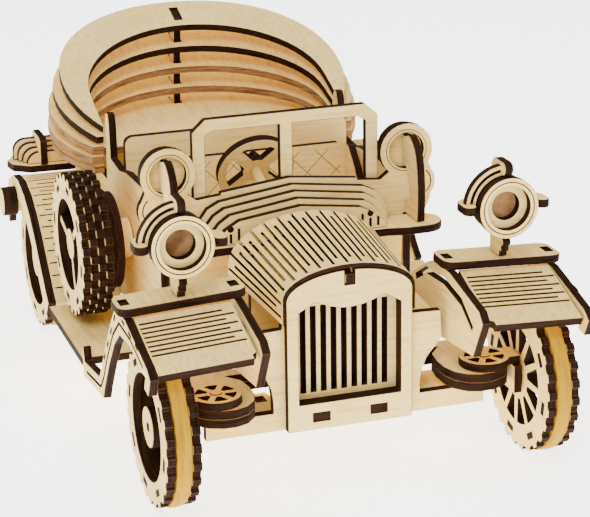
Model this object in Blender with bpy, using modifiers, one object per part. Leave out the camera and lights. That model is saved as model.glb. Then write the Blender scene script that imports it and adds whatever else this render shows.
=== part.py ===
"""Wooden 3-D jigsaw of a vintage open car, laser-cut from thin plywood sheet.

Every plate is a flat outline cut from the same sheet, so each one is drawn as points in millimetres
and given the sheet's thickness. The car faces -Y. In the outlines, y is measured backwards from the
front of the radiator and z upwards from the ground; CAR_MIDDLE moves y to the middle of the car.
"""

import math

import bmesh
import bpy
from mathutils import Matrix, Vector

MM = 0.001

# Driving dimensions, in millimetres.
SHEET = 2.7
GAP = 0.3
PITCH = SHEET + GAP
CAR_MIDDLE = 92.89

FRONT_AXLE_Y = -1.9
REAR_AXLE_Y = 164.8
AXLE_Z = 25.6
AXLE_RADIUS = 2.0
BORE_RADIUS = 2.4
WHEEL_RADIUS = 25.1
TOOTH_ROOT = 24.0
TOOTH_COUNT = 26
BAND_RADIUS = 25.6
WHEEL_OUTER_X = 67.5
WHEEL_PLIES = 4
RIM_HOLE_RADIUS = 17.0
SPOKES = 10
KINGPIN_X = 45.0
KNUCKLE_Z = 31.0

RADIATOR_HALF = 21.0
RADIATOR_FOOT_Z = 15.5
SHOULDER_Z = 59.6
ARCH_TOP_Z = 68.1
GRILLE_HALF = 17.1
GRILLE_LOW_Z = 24.5
SLAT_COUNT = 9
SLAT_PITCH = 3.45
SLAT_WIDTH = 1.7

BONNET_SHEET = 1.4
BONNET_REAR_Y = 44.0
BONNET_REAR_HALF = 25.3
BONNET_REAR_TOP_Z = 72.6

WING_Z = 61.0
COWL_FRONT_Y = 47.3
COWL_LAMP_X = 41.9
COWL_LAMP_Z = 86.0
COWL_RING_OUTER = 9.4
COWL_RING_INNER = 6.4
FIN_X = 42.75
SCREEN_HALF = 32.6
SCREEN_TOP_Z = 103.0
SCREEN_BAR = 4.4

FLOOR_Z = 31.0
BODY_X = 42.0
POST_TOP_Z = 89.0

TOP_COUNT = 5
TOP_PIVOT_Y = 131.5
TOP_PIVOT_Z = 80.4
TOP_STEP_Z = 3.4
TOP_ANGLES = (20.6, 15.4, 10.8, 6.4, 2.6)
TOP_HALVES = (53.8, 56.4, 58.2, 58.6, 57.4)
TOP_INNER_HALF = 45.3
TOP_BANDS = (17.0, 17.0, 17.0, 17.0, 58.0)

SHELF_Z = 61.8
SHELF_INNER_X = 33.0
SHELF_OUTER_X = 74.0
CHEEK_INNER_X = 34.2
CHEEK_OUTER_X = 69.3
DECK_FRONT = (-24.6, 52.3)
DECK_BACK = (3.2, 61.3)
FENDER_DROOP = 3.0
BOARD_Z = 20.5
BOARD_FRONT_Y = 65.5
BOARD_REAR_Y = 119.5

LAMP_X = 53.5
LAMP_Z = 82.0
LAMP_FRONT_Y = -0.7
LAMP_RADIUS = 10.0
LAMP_BORE = 7.3
LAMP_INNER_BORE = 4.7

SPARE_Y = 104.5
SPARE_Z = 51.0
SPARE_OUTER_X = -67.0

STEERING_X = -4.1
STEERING_Y = 85.0
STEERING_Z = 77.4
STEERING_RADIUS = 13.7
STEERING_RAKE = 24.0

PALE_BIRCH = (0.86, 0.74, 0.52)
RUBBER = (0.62, 0.43, 0.12)
SIDES = (("left", -1), ("right", 1))

CAR = bpy.data.collections.new("wooden_jigsaw_car")
CUTTERS = bpy.data.collections.new("cutters")


def clear_scene():
    for item in list(bpy.data.objects):
        bpy.data.objects.remove(item)
    bpy.context.scene.collection.children.link(CAR)
    bpy.context.scene.collection.children.link(CUTTERS)


def wood(name, colour=PALE_BIRCH, roughness=0.7):
    finish = bpy.data.materials.new(name + "_finish")
    finish.use_nodes = True
    shader = finish.node_tree.nodes["Principled BSDF"]
    shader.inputs["Base Color"].default_value = (*colour, 1.0)
    shader.inputs["Roughness"].default_value = roughness
    shader.inputs["Metallic"].default_value = 0.0
    return finish


# Outline helpers: every outline is a list of (across, up) points in millimetres.


def arc(centre, radius, start, end, steps=8):
    points = []
    for step in range(steps + 1):
        angle = math.radians(start + (end - start) * step / steps)
        points.append((centre[0] + radius * math.cos(angle), centre[1] + radius * math.sin(angle)))
    return points


def circle(centre, radius, steps=24):
    return arc(centre, radius, 0.0, 360.0, steps)[:-1]


def box(low, high):
    return [low, (high[0], low[1]), high, (low[0], high[1])]


def rounded_box(low, high, radius):
    x0, y0 = low[0] + radius, low[1] + radius
    x1, y1 = high[0] - radius, high[1] - radius
    corners = (((x1, y0), -90), ((x1, y1), 0), ((x0, y1), 90), ((x0, y0), 180))
    return [point for centre, start in corners for point in arc(centre, radius, start, start + 90, 4)]


def both_halves(right_half):
    """Mirror points given from bottom centre up the right side to top centre."""
    left = [(-x, z) for x, z in reversed(right_half) if abs(x) > 1e-6]
    return list(right_half) + left


def toothed(radius, root, count, phase=0.0):
    points = []
    for tooth in range(count):
        start = 2.0 * math.pi * (tooth + phase) / count
        for share, reach in ((0.0, radius), (0.5, root)):
            angle = start + 2.0 * math.pi * share / count
            points.append((reach * math.cos(angle), reach * math.sin(angle)))
    return points


def flipped(outline):
    return [(-across, up) for across, up in reversed(outline)]


# Solid helpers.

FACING = {
    "X": Matrix(((0, 0, 1), (1, 0, 0), (0, 1, 0))).to_4x4(),
    "Y": Matrix(((1, 0, 0), (0, 0, -1), (0, 1, 0))).to_4x4(),
    "Z": Matrix.Identity(4),
}


def add_object(name, mesh, collection, colour=PALE_BIRCH):
    item = bpy.data.objects.new(name, mesh)
    collection.objects.link(item)
    if collection is CAR:
        mesh.materials.clear()
        mesh.materials.append(wood(name, colour))
    else:
        item.hide_render = True
        item.display_type = "WIRE"
    return item


def sheet_mesh(name, outline, holes=(), thickness=SHEET):
    """Mesh of a flat outline with holes, centred on its own plane, its caps welded to its rim.

    The outline is drawn at a slant and turned back, because the cap fill leaves slivers between level corners.
    """
    slant = Matrix.Rotation(0.37, 4, "Z")
    curve = bpy.data.curves.new(name, "CURVE")
    curve.dimensions = "2D"
    curve.fill_mode = "BOTH"
    curve.extrude = 0.5 * thickness * MM
    for loop in (outline, *holes):
        spline = curve.splines.new("POLY")
        spline.points.add(len(loop) - 1)
        for point, (across, up) in zip(spline.points, loop):
            point.co = (*(slant @ Vector((across * MM, up * MM, 0.0))), 1.0)
        spline.use_cyclic_u = True
    draft = bpy.data.objects.new(name + "_draft", curve)
    CUTTERS.objects.link(draft)
    bpy.context.view_layer.update()
    evaluated = draft.evaluated_get(bpy.context.evaluated_depsgraph_get())
    mesh = bpy.data.meshes.new_from_object(evaluated)
    bpy.data.objects.remove(draft)
    bpy.data.curves.remove(curve)
    work = bmesh.new()
    work.from_mesh(mesh)
    bmesh.ops.remove_doubles(work, verts=work.verts, dist=1e-6)
    bmesh.ops.recalc_face_normals(work, faces=work.faces)
    work.to_mesh(mesh)
    work.free()
    mesh.transform(slant.inverted())
    mesh.name = name
    return mesh


def plate(name, facing, near, outline, holes=(), thickness=SHEET, collection=None, colour=PALE_BIRCH,
          origin=(0.0, 0.0, 0.0), tilt=None):
    """A plate whose sheet fills from near to near + thickness along its facing axis."""
    mesh = sheet_mesh(name, outline, holes, thickness)
    item = add_object(name, mesh, collection or CAR, colour)
    offset = {"X": Vector((1, 0, 0)), "Y": Vector((0, 1, 0)), "Z": Vector((0, 0, 1))}[facing]
    place = Matrix.Translation(offset * (near + 0.5 * thickness) * MM) @ FACING[facing]
    if tilt is not None:
        place = tilt @ place
    mesh.transform(place)
    item.location = (origin[0] * MM, (origin[1] - CAR_MIDDLE) * MM, origin[2] * MM)
    return item


def rod(name, radius, low, high, axis, origin, collection=None, sides=16, colour=PALE_BIRCH):
    """A round bar from low to high along its axis."""
    work = bmesh.new()
    place = Matrix.Translation(Vector((0.0, 0.0, 0.5 * (low + high) * MM)))
    bmesh.ops.create_cone(work, cap_ends=True, segments=sides, radius1=radius * MM, radius2=radius * MM,
                          depth=(high - low) * MM, matrix=place)
    mesh = bpy.data.meshes.new(name)
    work.to_mesh(mesh)
    work.free()
    mesh.transform(FACING[axis])
    item = add_object(name, mesh, collection or CAR, colour)
    item.location = (origin[0] * MM, (origin[1] - CAR_MIDDLE) * MM, origin[2] * MM)
    return item


def turned(name, profile, origin, steps=28):
    """A turned piece about the Y axis, from closed (radius, back) points."""
    work = bmesh.new()
    corners = [work.verts.new((radius * MM, back * MM, 0.0)) for radius, back in profile]
    for index, corner in enumerate(corners):
        work.edges.new((corner, corners[(index + 1) % len(corners)]))
    mesh = bpy.data.meshes.new(name)
    work.to_mesh(mesh)
    work.free()
    item = add_object(name, mesh, CAR)
    item.location = (origin[0] * MM, (origin[1] - CAR_MIDDLE) * MM, origin[2] * MM)
    spin = item.modifiers.new("turn", "SCREW")
    spin.axis = "Y"
    spin.steps = steps
    spin.render_steps = steps
    spin.use_merge_vertices = True
    spin.merge_threshold = 1e-6
    spin.use_normal_flip = True
    return item


def combine(item, others, operation="UNION"):
    """Join or cut with the other objects, which must be in the cutters collection."""
    for other in others:
        step = item.modifiers.new(other.name, "BOOLEAN")
        step.operation = operation
        step.solver = "EXACT"
        step.object = other
    return item


# Front of the car.


def arch(half, shoulder, top, steps=14):
    """Elliptical arch from the right shoulder over the top to the centre."""
    points = []
    for step in range(steps + 1):
        angle = 0.5 * math.pi * step / steps
        points.append((half * math.cos(angle), shoulder + (top - shoulder) * math.sin(angle)))
    return points


def build_radiator():
    notch = 1.7
    rim = arch(RADIATOR_HALF, SHOULDER_Z, ARCH_TOP_Z)[:-1]
    half = [(RADIATOR_HALF, RADIATOR_FOOT_Z), *rim, (notch, ARCH_TOP_Z - 0.1), (notch, ARCH_TOP_Z - 5.0)]
    brow = [(GRILLE_HALF, GRILLE_LOW_Z), (GRILLE_HALF, 55.4), (11.6, 58.6),
            (7.6, 56.9), (3.8, 55.8), (0.0, 55.5)]
    tabs = [box((side * 9.7 - 2.8, 18.2), (side * 9.7 + 2.8, 21.2)) for side in (-1, 1)]
    plate("radiator_front_plate", "Y", 0.0, both_halves(half), [both_halves(brow), *tabs])

    centre_out = (SLAT_COUNT - 1) / 2
    slots = []
    for slat in range(SLAT_COUNT):
        middle = (slat - centre_out) * SLAT_PITCH
        slots.append(box((middle - SLAT_WIDTH / 2, 26.0), (middle + SLAT_WIDTH / 2, 55.0)))
    plate("radiator_slat_plate", "Y", 2 * PITCH, box((-20.0, 17.0), (20.0, 61.5)), slots)

    half = [(47.3, RADIATOR_FOOT_Z), (47.3, 20.4), (45.9, 21.8), (24.9, 21.8),
            (25.0, 26.0), (25.6, 30.0), (27.4, 34.0), (30.2, 37.2), (32.4, 40.0), (31.9, 49.4),
            (21.8, 49.8), (21.0, 58.0), (16.0, 61.5)]
    opening = box((-GRILLE_HALF - 0.4, GRILLE_LOW_Z - 0.4), (GRILLE_HALF + 0.4, 59.0))
    plate("front_cross_plate", "Y", PITCH, both_halves(half), [opening])


def bonnet_section(share):
    """Outer bonnet half-section at a share of the way from front to rear."""
    half = RADIATOR_HALF + 1.0 + share * (BONNET_REAR_HALF - RADIATOR_HALF - 1.0)
    top = ARCH_TOP_Z + 1.7 + share * (BONNET_REAR_TOP_Z - ARCH_TOP_Z - 1.7)
    shoulder = SHOULDER_Z + 0.6 - share * 2.4
    foot = 52.0 + share * 3.0
    half_points = [(half, foot), *arch(half, shoulder, top, 10)]
    return half_points + [(-x, z) for x, z in reversed(half_points[:-1])]


def build_bonnet():
    work = bmesh.new()
    rows = []
    for share, y in ((0.0, 0.4), (0.5, 0.5 * BONNET_REAR_Y), (1.0, BONNET_REAR_Y)):
        row = [work.verts.new((x * MM, (y - CAR_MIDDLE) * MM, z * MM)) for x, z in bonnet_section(share)]
        rows.append(row)
    for front, back in zip(rows, rows[1:]):
        for step in range(len(front) - 1):
            work.faces.new((front[step], front[step + 1], back[step + 1], back[step]))
    mesh = bpy.data.meshes.new("bonnet_shell")
    work.to_mesh(mesh)
    work.free()
    shell = add_object("bonnet_shell", mesh, CAR)
    wall = shell.modifiers.new("sheet", "SOLIDIFY")
    wall.thickness = BONNET_SHEET * MM
    wall.offset = -1.0

    spine = [(-0.2, 63.5), (BONNET_REAR_Y - 1.0, 63.5), (BONNET_REAR_Y - 1.0, 69.8), (3.6, 67.4), (3.2, 66.6),
             (-0.2, 66.6)]
    plate("bonnet_spine", "X", -SHEET / 2, spine)
    half = [(21.6, FLOOR_Z + PITCH), (21.6, 58.0), (20.9, 62.2), (17.5, 66.2), (12.0, 68.2), (1.8, 69.0),
            (1.7, 63.2)]
    plate("bonnet_former", "Y", 36.0, both_halves(half))


# Cowl, windscreen and cowl lamps.


def build_cowl():
    half = [(29.5, 45.6), (33.0, 44.9), (37.0, 44.0), *arc((44.0, 51.0), 7.0, -90.0, 90.0, 10)]
    plate("cowl_wing_plate", "Z", WING_Z, both_halves(half))

    lowest = WING_Z + PITCH
    steps = []
    profiles = (((0.0, 74.5), (21.3, 71.7), (25.8, 69.1), (29.9, 65.6), (30.4, lowest)),
                ((0.0, 76.2), (23.6, 72.9), (27.3, 70.4), (31.4, 65.4), (31.9, lowest)),
                ((0.0, 77.8), (24.7, 74.4), (28.4, 72.2), (32.2, 67.4), (33.0, lowest)),
                ((0.0, 79.3), (25.4, 76.0), (29.6, 73.9), (33.4, 68.8), (34.4, lowest)))
    for index, profile in enumerate(profiles):
        outline = both_halves([*reversed(profile[1:]), profile[0]])
        name = "cowl_step_stack" if index == 0 else f"cowl_step_{index + 1}"
        steps.append(plate(name, "Y", COWL_FRONT_Y + index * PITCH, outline, collection=CUTTERS if index else CAR))
    core = both_halves([(27.0, lowest + 1.2), (24.0, 69.4), (0.0, 73.0)])
    steps.append(plate("cowl_core", "Y", COWL_FRONT_Y + 1.0, core, thickness=3 * PITCH + 1.0, collection=CUTTERS))
    combine(steps[0], steps[1:])

    ring = (COWL_LAMP_X, COWL_LAMP_Z)
    half = [(39.8, 38.0), (40.6, lowest), (48.6, lowest), (50.4, 67.8),
            *arc((45.8, 74.4), 6.6, -40.0, 38.0, 5),
            *arc(ring, COWL_RING_OUTER, -32.0, 228.0, 20), (32.4, 76.6), (24.0, 77.4), (24.0, 78.2),
            (0.0, 80.9)]
    column = circle((STEERING_X, column_height(60.6)), 2.6, 12)
    holes = [circle((side * ring[0], ring[1]), COWL_RING_INNER, 24) for side in (-1, 1)]
    plate("cowl_lamp_plate", "Y", 59.3, both_halves(half), [*holes, column])

    top, bar = SCREEN_TOP_Z, SCREEN_BAR
    half = [(SCREEN_HALF, lowest), (SCREEN_HALF, top - 4.2), (SCREEN_HALF - 4.6, top)]
    pane = [(bar / 2, 70.6), (SCREEN_HALF - bar, 70.6), (SCREEN_HALF - bar, top - 6.0),
            (SCREEN_HALF - bar - 2.4, top - 4.2), (bar / 2, top - 4.2)]
    notch = [(bar / 2, 65.1), (-STEERING_X + 2.0, 65.1), (-STEERING_X + 2.0, 70.6)]
    plate("windscreen_frame", "Y", 62.3, both_halves(half), [pane, flipped([*notch, *pane[1:]])])

    fin = [(47.7, lowest), (58.7, lowest), (58.7, 68.0), (56.0, 70.2), (55.6, 74.0), (57.4, 77.6),
           (58.2, 80.4), (63.0, 80.4), (63.0, 91.0), (58.2, 91.4), (56.4, 92.2), (52.4, 90.6), (49.3, 86.6),
           (47.7, 80.5), (47.1, 74.0)]
    for name, side in SIDES:
        disc = plate(f"lamp_disc_{name}", "Y", 62.3, circle((side * COWL_LAMP_X, COWL_LAMP_Z), 8.8, 24),
                     collection=CUTTERS)
        lamp = plate(f"cowl_lamp_{name}", "X", side * FIN_X - SHEET / 2, fin)
        combine(lamp, [disc])


def column_height(y):
    return STEERING_Z - (STEERING_Y - y) * math.tan(math.radians(STEERING_RAKE))


# Body, seats and chassis.


def build_body():
    outline = [(62.4, 24.0), (186.0, 24.0), (190.0, 34.0), (190.0, 60.0), (184.0, 64.0), (136.0, 63.4),
               (135.4, POST_TOP_Z - 3.0), (133.4, POST_TOP_Z), (131.0, POST_TOP_Z), (129.6, POST_TOP_Z - 3.0),
               (128.8, 73.0), (116.0, 72.2), (106.0, 74.2), (86.0, 75.0), (66.0, 75.0), (62.4, 71.0)]
    hole = circle((REAR_AXLE_Y, AXLE_Z), BORE_RADIUS, 16)
    for name, side in SIDES:
        near = BODY_X if side > 0 else -BODY_X - SHEET
        plate(f"body_side_{name}", "X", near, outline, [hole])

    half = BODY_X - GAP
    floor = [(-half, 62.4), (-30.0, 62.4), (-30.0, 24.0), (-21.0, 15.2), (21.0, 15.2), (30.0, 24.0), (30.0, 62.4),
             (half, 62.4), (half, 186.0), (-half, 186.0)]
    plate("floor_plate", "Z", FLOOR_Z, floor)
    keel_outline = [(12.4, 17.0), (176.0, 17.0), (186.0, 24.0), (186.0, FLOOR_Z - GAP), (30.0, FLOOR_Z - GAP),
                    (28.0, 24.7), (12.4, 24.7)]
    keel = plate("chassis_keel", "X", -SHEET / 2, keel_outline, [circle((REAR_AXLE_Y, AXLE_Z), BORE_RADIUS, 16)])
    flank = [(20.3, 9.0), (20.3, 6.0), (44.0, 6.0), (44.0, 12.0), (38.0, 20.0), (22.0, 21.0), (20.6, 14.9)]
    slots = [box((side * 25.4 - 1.7, 13.4), (side * 25.4 + 1.7, 18.2)) for side in (-1, 1)]
    crossing = plate("front_chassis_plate", "Z", 19.0, both_halves(flank), slots, collection=CUTTERS)
    combine(keel, [crossing])

    seat_floor = FLOOR_Z + PITCH
    plate("seat_divider", "Y", 119.0, rounded_box((-half, seat_floor), (half, 83.2), 3.0))
    half_back = [(36.9, seat_floor), (36.9, 72.0), (33.6, 77.0)]
    back = plate("front_seat", "Y", 106.0, both_halves(half_back))
    foot = seat_floor + 0.6
    cheek = [(90.0, foot), (106.6, foot), (106.6, 76.4), (103.4, 76.4), (96.4, 70.0), (90.0, 58.0)]
    pieces = [plate(f"seat_cheek_{name}", "X", side * 38.0 - SHEET / 2, cheek, collection=CUTTERS)
              for name, side in SIDES]
    pieces.append(plate("seat_base", "Z", 52.0, box((-37.2, 90.6), (37.2, 106.8)), collection=CUTTERS))
    combine(back, pieces)
    plate("rear_panel", "Y", 176.0, both_halves([(half, seat_floor), (half, 61.0), (38.0, 65.6)]))


# Folded top: plates fanned about the side posts, with one rib through them at the rear.


def top_plane(index):
    """Matrix that lays a flat (across, back) outline in the plane of one folded-top plate."""
    pivot = Vector((0.0, (TOP_PIVOT_Y - CAR_MIDDLE) * MM, (TOP_PIVOT_Z - index * TOP_STEP_Z) * MM))
    return Matrix.Translation(pivot) @ Matrix.Rotation(math.radians(TOP_ANGLES[index]), 4, "X")


def top_outline(half, band):
    """Horseshoe outline with a band of a given depth at the rear, its ends closing in on the posts."""
    centre, reach, front_reach = 33.0, 48.8, 60.0
    start = 4.6
    outer = []
    for step in range(7):
        back = start + (centre - start) * step / 6
        share = (centre - back) / front_reach
        outer.append((half * math.sqrt(1.0 - share * share) ** 1.3, back))
    for step in range(1, 17):
        angle = 0.5 * math.pi * step / 16
        outer.append((half * math.cos(angle) ** 0.93, centre + reach * math.sin(angle) ** 0.93))
    inner = []
    inner_centre = centre - 8.7
    for step in range(17):
        angle = 0.5 * math.pi * step / 16
        inner.append((TOP_INNER_HALF * math.cos(angle),
                      inner_centre + (centre + reach - band - inner_centre) * math.sin(angle)))
    right = [(TOP_INNER_HALF, start), *outer]
    left = [(-x, back) for x, back in reversed(right[:-1])]
    hollow = [(-x, back) for x, back in inner[:-1]] + [(x, back) for x, back in reversed(inner)]
    return right + left + hollow


def build_folded_top():
    slot = box((-1.7, 68.4), (1.7, 77.4))
    front_edge, rear_edge = [], []
    for index in range(TOP_COUNT):
        plane = top_plane(index)
        mesh = sheet_mesh(f"folded_top_{index + 1}", top_outline(TOP_HALVES[index], TOP_BANDS[index]), [slot])
        item = add_object(f"folded_top_{index + 1}", mesh, CAR)
        mesh.transform(plane)
        for along, edge in ((69.6, front_edge), (76.2, rear_edge)):
            for lift in (SHEET / 2, -SHEET / 2):
                point = plane @ Vector((0.0, along * MM, lift * MM))
                edge.append((point.y / MM + CAR_MIDDLE, point.z / MM))
    plate("folded_top_spine", "X", -SHEET / 2, front_edge + list(reversed(rear_edge)))


# Luggage at the rear.


def build_luggage():
    half = [(44.0, 190.3), (62.0, 191.5), (68.0, 196.0), (69.0, 202.0), (66.0, 208.0), (0.0, 210.0)]
    plate("luggage_base", "Z", 51.6, both_halves(half))
    half = [(66.4, 54.6), *arc((61.6, 57.6), 4.8, 0.0, 90.0, 5)]
    case = plate("luggage_case", "Y", 194.0, both_halves(half), thickness=10.0)
    strap = [(191.0, 55.2), (206.6, 55.2), (206.6, 63.8), (204.6, 65.0), (193.0, 65.0), (191.0, 63.8)]
    straps = [plate(f"strap_{name}", "X", side * 56.4 - SHEET / 2, strap, collection=CUTTERS) for name, side in SIDES]
    combine(case, straps)


# Fenders, running boards and lamp shelves.

REAR_SWEEP = ((119.8, 24.2), (124.0, 27.6), (132.0, 35.6), (139.6, 43.4), (147.0, 49.6), (155.0, 54.4), (164.8, 57.2),
              (174.4, 56.8), (183.4, 52.8), (190.4, 46.0), (194.6, 37.6))


def offset_path(path, distance):
    """Points moved sideways by a distance, to the right of the walking direction."""
    moved = []
    for index, point in enumerate(path):
        before = path[max(index - 1, 0)]
        after = path[min(index + 1, len(path) - 1)]
        run = Vector((after[0] - before[0], after[1] - before[1])).normalized()
        moved.append((point[0] + run.y * distance, point[1] - run.x * distance))
    return moved


def build_fenders():
    outer = [(-24.4, 45.4), (-19.6, 46.2), (-21.6, 50.6), (-4.0, 53.4), (9.4, 52.4), (17.0, 46.6), (26.0, 36.0),
             (33.6, 25.2), (36.0, 20.8), (64.8, 17.6), (66.0, 27.0), (64.0, 28.6), (62.6, 23.6), (41.0, 26.6),
             (37.0, 31.6), (30.6, 41.0), (21.4, 52.4), (14.0, 60.2), (1.4, 60.2), (-23.8, 54.0), (-27.4, 51.4)]
    inner = [(-18.2, 40.6), (-16.6, 40.6), (9.1, 37.7), (12.0, 44.0), (32.0, 45.4), (38.0, 45.6), (39.2, 48.6),
             (20.4, 59.8), (13.6, 62.2), (1.6, 62.2), (-22.4, 57.4), (-25.6, 54.2)]
    groove = [(30.0, 50.6), (21.2, 55.6), (6.0, 56.8), (-8.0, 54.6), (-17.0, 49.2), (-17.8, 50.6), (-8.4, 56.8),
              (6.0, 59.0), (21.6, 57.6), (30.8, 52.2)]
    run = Vector((DECK_BACK[0] - DECK_FRONT[0], DECK_BACK[1] - DECK_FRONT[1]))
    angle = math.atan2(run.y, run.x)
    rear_profile = list(REAR_SWEEP) + list(reversed(offset_path(REAR_SWEEP, 7.5)))
    deck_profile = list(offset_path(REAR_SWEEP, 0.4)) + list(reversed(offset_path(REAR_SWEEP, 2.6)))
    tail_lamp = circle((172.0, 47.6), 5.4, 16)
    for name, side in SIDES:
        outer_near = CHEEK_OUTER_X if side > 0 else -CHEEK_OUTER_X - SHEET
        inner_near = CHEEK_INNER_X if side > 0 else -CHEEK_INNER_X - SHEET
        plate(f"front_fender_outer_cheek_{name}", "X", outer_near, outer)
        plate(f"front_fender_inner_cheek_{name}", "X", inner_near, inner, [groove])
        middle = side * 0.5 * (CHEEK_INNER_X + SHEET + CHEEK_OUTER_X)
        half_width = 0.5 * (CHEEK_OUTER_X - CHEEK_INNER_X - SHEET) - 2 * GAP
        droop = Matrix.Rotation(math.radians(side * FENDER_DROOP), 4, "Y")
        tilt = (Matrix.Translation(Vector((middle, DECK_FRONT[0] - CAR_MIDDLE, DECK_FRONT[1])) * MM)
                @ droop @ Matrix.Rotation(angle, 4, "X"))
        deck = plate(f"front_fender_deck_{name}", "Z", -SHEET, box((-half_width, 0.0), (half_width, run.length)),
                     tilt=tilt)
        deck.location = (0.0, 0.0, 0.0)
        reach = 0.5 * (SHELF_OUTER_X - SHELF_INNER_X)
        slots = [box((side * x - middle - SHEET / 2, 5.6), (side * x - middle + SHEET / 2, 10.6))
                 for x in (CHEEK_INNER_X + SHEET / 2, CHEEK_OUTER_X + SHEET / 2)]
        rest = Matrix.Translation(Vector((middle, -CAR_MIDDLE, SHELF_Z)) * MM) @ droop
        shelf = plate(f"lamp_shelf_{name}", "Z", 0.0, rounded_box((-reach, 1.4), (reach, 14.8), 3.6), slots, tilt=rest)
        shelf.location = (0.0, 0.0, 0.0)

        board = rounded_box((45.0, BOARD_FRONT_Y + 1.0), (72.0, BOARD_REAR_Y), 0.8)
        plate(f"running_board_{name}", "Z", BOARD_Z, board if side > 0 else flipped(board))
        cheek = plate(f"rear_fender_cheek_{name}", "X", outer_near, rear_profile)
        lamp_near = outer_near + SHEET - 0.05 if side > 0 else outer_near - 2 * SHEET + 0.05
        lamp = plate(f"tail_lamp_{name}", "X", lamp_near, tail_lamp, thickness=2 * SHEET, collection=CUTTERS)
        combine(cheek, [lamp])
        deck_near = BODY_X + PITCH if side > 0 else -CHEEK_OUTER_X + GAP
        plate(f"rear_fender_deck_{name}", "X", deck_near, deck_profile,
              thickness=CHEEK_OUTER_X - GAP - BODY_X - PITCH)


def build_headlamps():
    depth = 3 * PITCH
    profile = [(LAMP_RADIUS, 0.0), (LAMP_RADIUS, SHEET), (LAMP_RADIUS - 0.5, SHEET), (LAMP_RADIUS - 0.5, depth),
               (0.8, depth), (0.8, 7.6), (LAMP_INNER_BORE, 7.6), (LAMP_INNER_BORE, 4.6), (LAMP_BORE, 4.6),
               (LAMP_BORE, 0.0)]
    back = LAMP_FRONT_Y + depth + GAP
    reach, bar = 13.6, 3.0
    for name, side in SIDES:
        x = side * LAMP_X
        turned(f"headlamp_barrel_{name}", profile, (x, LAMP_FRONT_Y, LAMP_Z))
        inner = LAMP_RADIUS + GAP
        arms = []
        for hand in (-1, 1):
            arms += [[(hand * inner, back), (hand * inner, 1.6), (hand * (inner + 1.2), 0.2), (hand * reach, 1.2),
                      (hand * (reach + 0.6), 3.4), (hand * (reach + 0.4), back), (hand * (reach - 1.8), back + bar)]]
        across = arms[1] + list(reversed(arms[0]))
        upright = [(back, LAMP_Z - inner), (1.8, LAMP_Z - inner), (1.8, SHELF_Z + PITCH), (back + bar, SHELF_Z + PITCH),
                   (back + bar, LAMP_Z + reach - 1.8), (back, LAMP_Z + reach + 0.4), (3.4, LAMP_Z + reach + 0.6),
                   (1.2, LAMP_Z + reach),
                   (0.2, LAMP_Z + inner + 1.2), (1.6, LAMP_Z + inner), (back, LAMP_Z + inner)]
        cross = plate(f"lamp_hook_{name}", "Z", LAMP_Z - SHEET / 2, [(x + px, py) for px, py in across],
                      collection=CUTTERS)
        clamp = plate(f"headlamp_clamp_{name}", "X", x - SHEET / 2, upright)
        combine(clamp, [cross])


# Wheels and running gear.


def wheel_plies(name, origin, hand):
    """Toothed outer ring, spoked inner plate, core ring and hub, joined in one wheel."""
    width = WHEEL_PLIES * SHEET
    outer_near = -SHEET if hand > 0 else 0.0
    inner_near = -width if hand > 0 else width - SHEET
    core_near = -width + SHEET - 0.2 if hand > 0 else SHEET - 0.2
    hub_near = -width - 0.5 if hand > 0 else 0.9
    edge = toothed(WHEEL_RADIUS, TOOTH_ROOT, TOOTH_COUNT)
    openings = []
    for spoke in range(SPOKES):
        low = 360.0 * spoke / SPOKES + 7.0
        high = 360.0 * (spoke + 1) / SPOKES - 7.0
        openings.append(arc((0.0, 0.0), RIM_HOLE_RADIUS, low, high, 3) + arc((0.0, 0.0), 7.6, high - 4.0, low + 4.0, 1))
    wheel = plate(name, "X", inner_near, edge, [circle((0.0, 0.0), 3.6, 16), *openings], origin=origin)
    ring = plate(name + "_ring", "X", outer_near, edge, [circle((0.0, 0.0), RIM_HOLE_RADIUS, 30)],
                 collection=CUTTERS, origin=origin)
    core = plate(name + "_core", "X", core_near, circle((0.0, 0.0), 21.4, 30), [circle((0.0, 0.0), 18.2, 30)],
                 thickness=width - 2 * SHEET + 0.4, collection=CUTTERS, origin=origin)
    hub = plate(name + "_hub", "X", hub_near, circle((0.0, 0.0), 5.0, 16), [circle((0.0, 0.0), BORE_RADIUS, 16)],
                thickness=width - 0.4, collection=CUTTERS, origin=origin)
    return combine(wheel, [core, ring, hub])


def build_wheels():
    width = WHEEL_PLIES * SHEET
    for row, y in (("front", FRONT_AXLE_Y), ("rear", REAR_AXLE_Y)):
        for name, side in SIDES:
            origin = (side * WHEEL_OUTER_X, y, AXLE_Z)
            wheel_plies(f"wheel_{row}_{name}", origin, side)
            band_near = -width + PITCH if side > 0 else PITCH
            plate(f"tyre_band_{row}_{name}", "X", band_near, circle((0.0, 0.0), BAND_RADIUS, 36),
                  [circle((0.0, 0.0), 21.8, 36)], thickness=width - 2 * PITCH, colour=RUBBER, origin=origin)
    plate("spare_wheel", "X", 0.0, toothed(WHEEL_RADIUS, TOOTH_ROOT, TOOTH_COUNT), [circle((0.0, 0.0), 16.0, 30)],
          thickness=width, origin=(SPARE_OUTER_X, SPARE_Y, SPARE_Z))
    inner_face = SPARE_OUTER_X + width
    mount = plate("spare_wheel_mount", "X", inner_face + GAP, circle((SPARE_Y, SPARE_Z), 18.2, 30),
                  thickness=2 * SHEET)
    stub = plate("spare_stub", "X", inner_face + GAP + SHEET, circle((SPARE_Y, SPARE_Z), 7.0, 20),
                 thickness=-BODY_X - PITCH - inner_face - GAP - SHEET, collection=CUTTERS)
    hub = plate("spare_hub", "X", SPARE_OUTER_X + 2.0, circle((SPARE_Y, SPARE_Z), 6.0, 20),
                thickness=width, collection=CUTTERS)
    combine(mount, [stub, hub])


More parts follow.
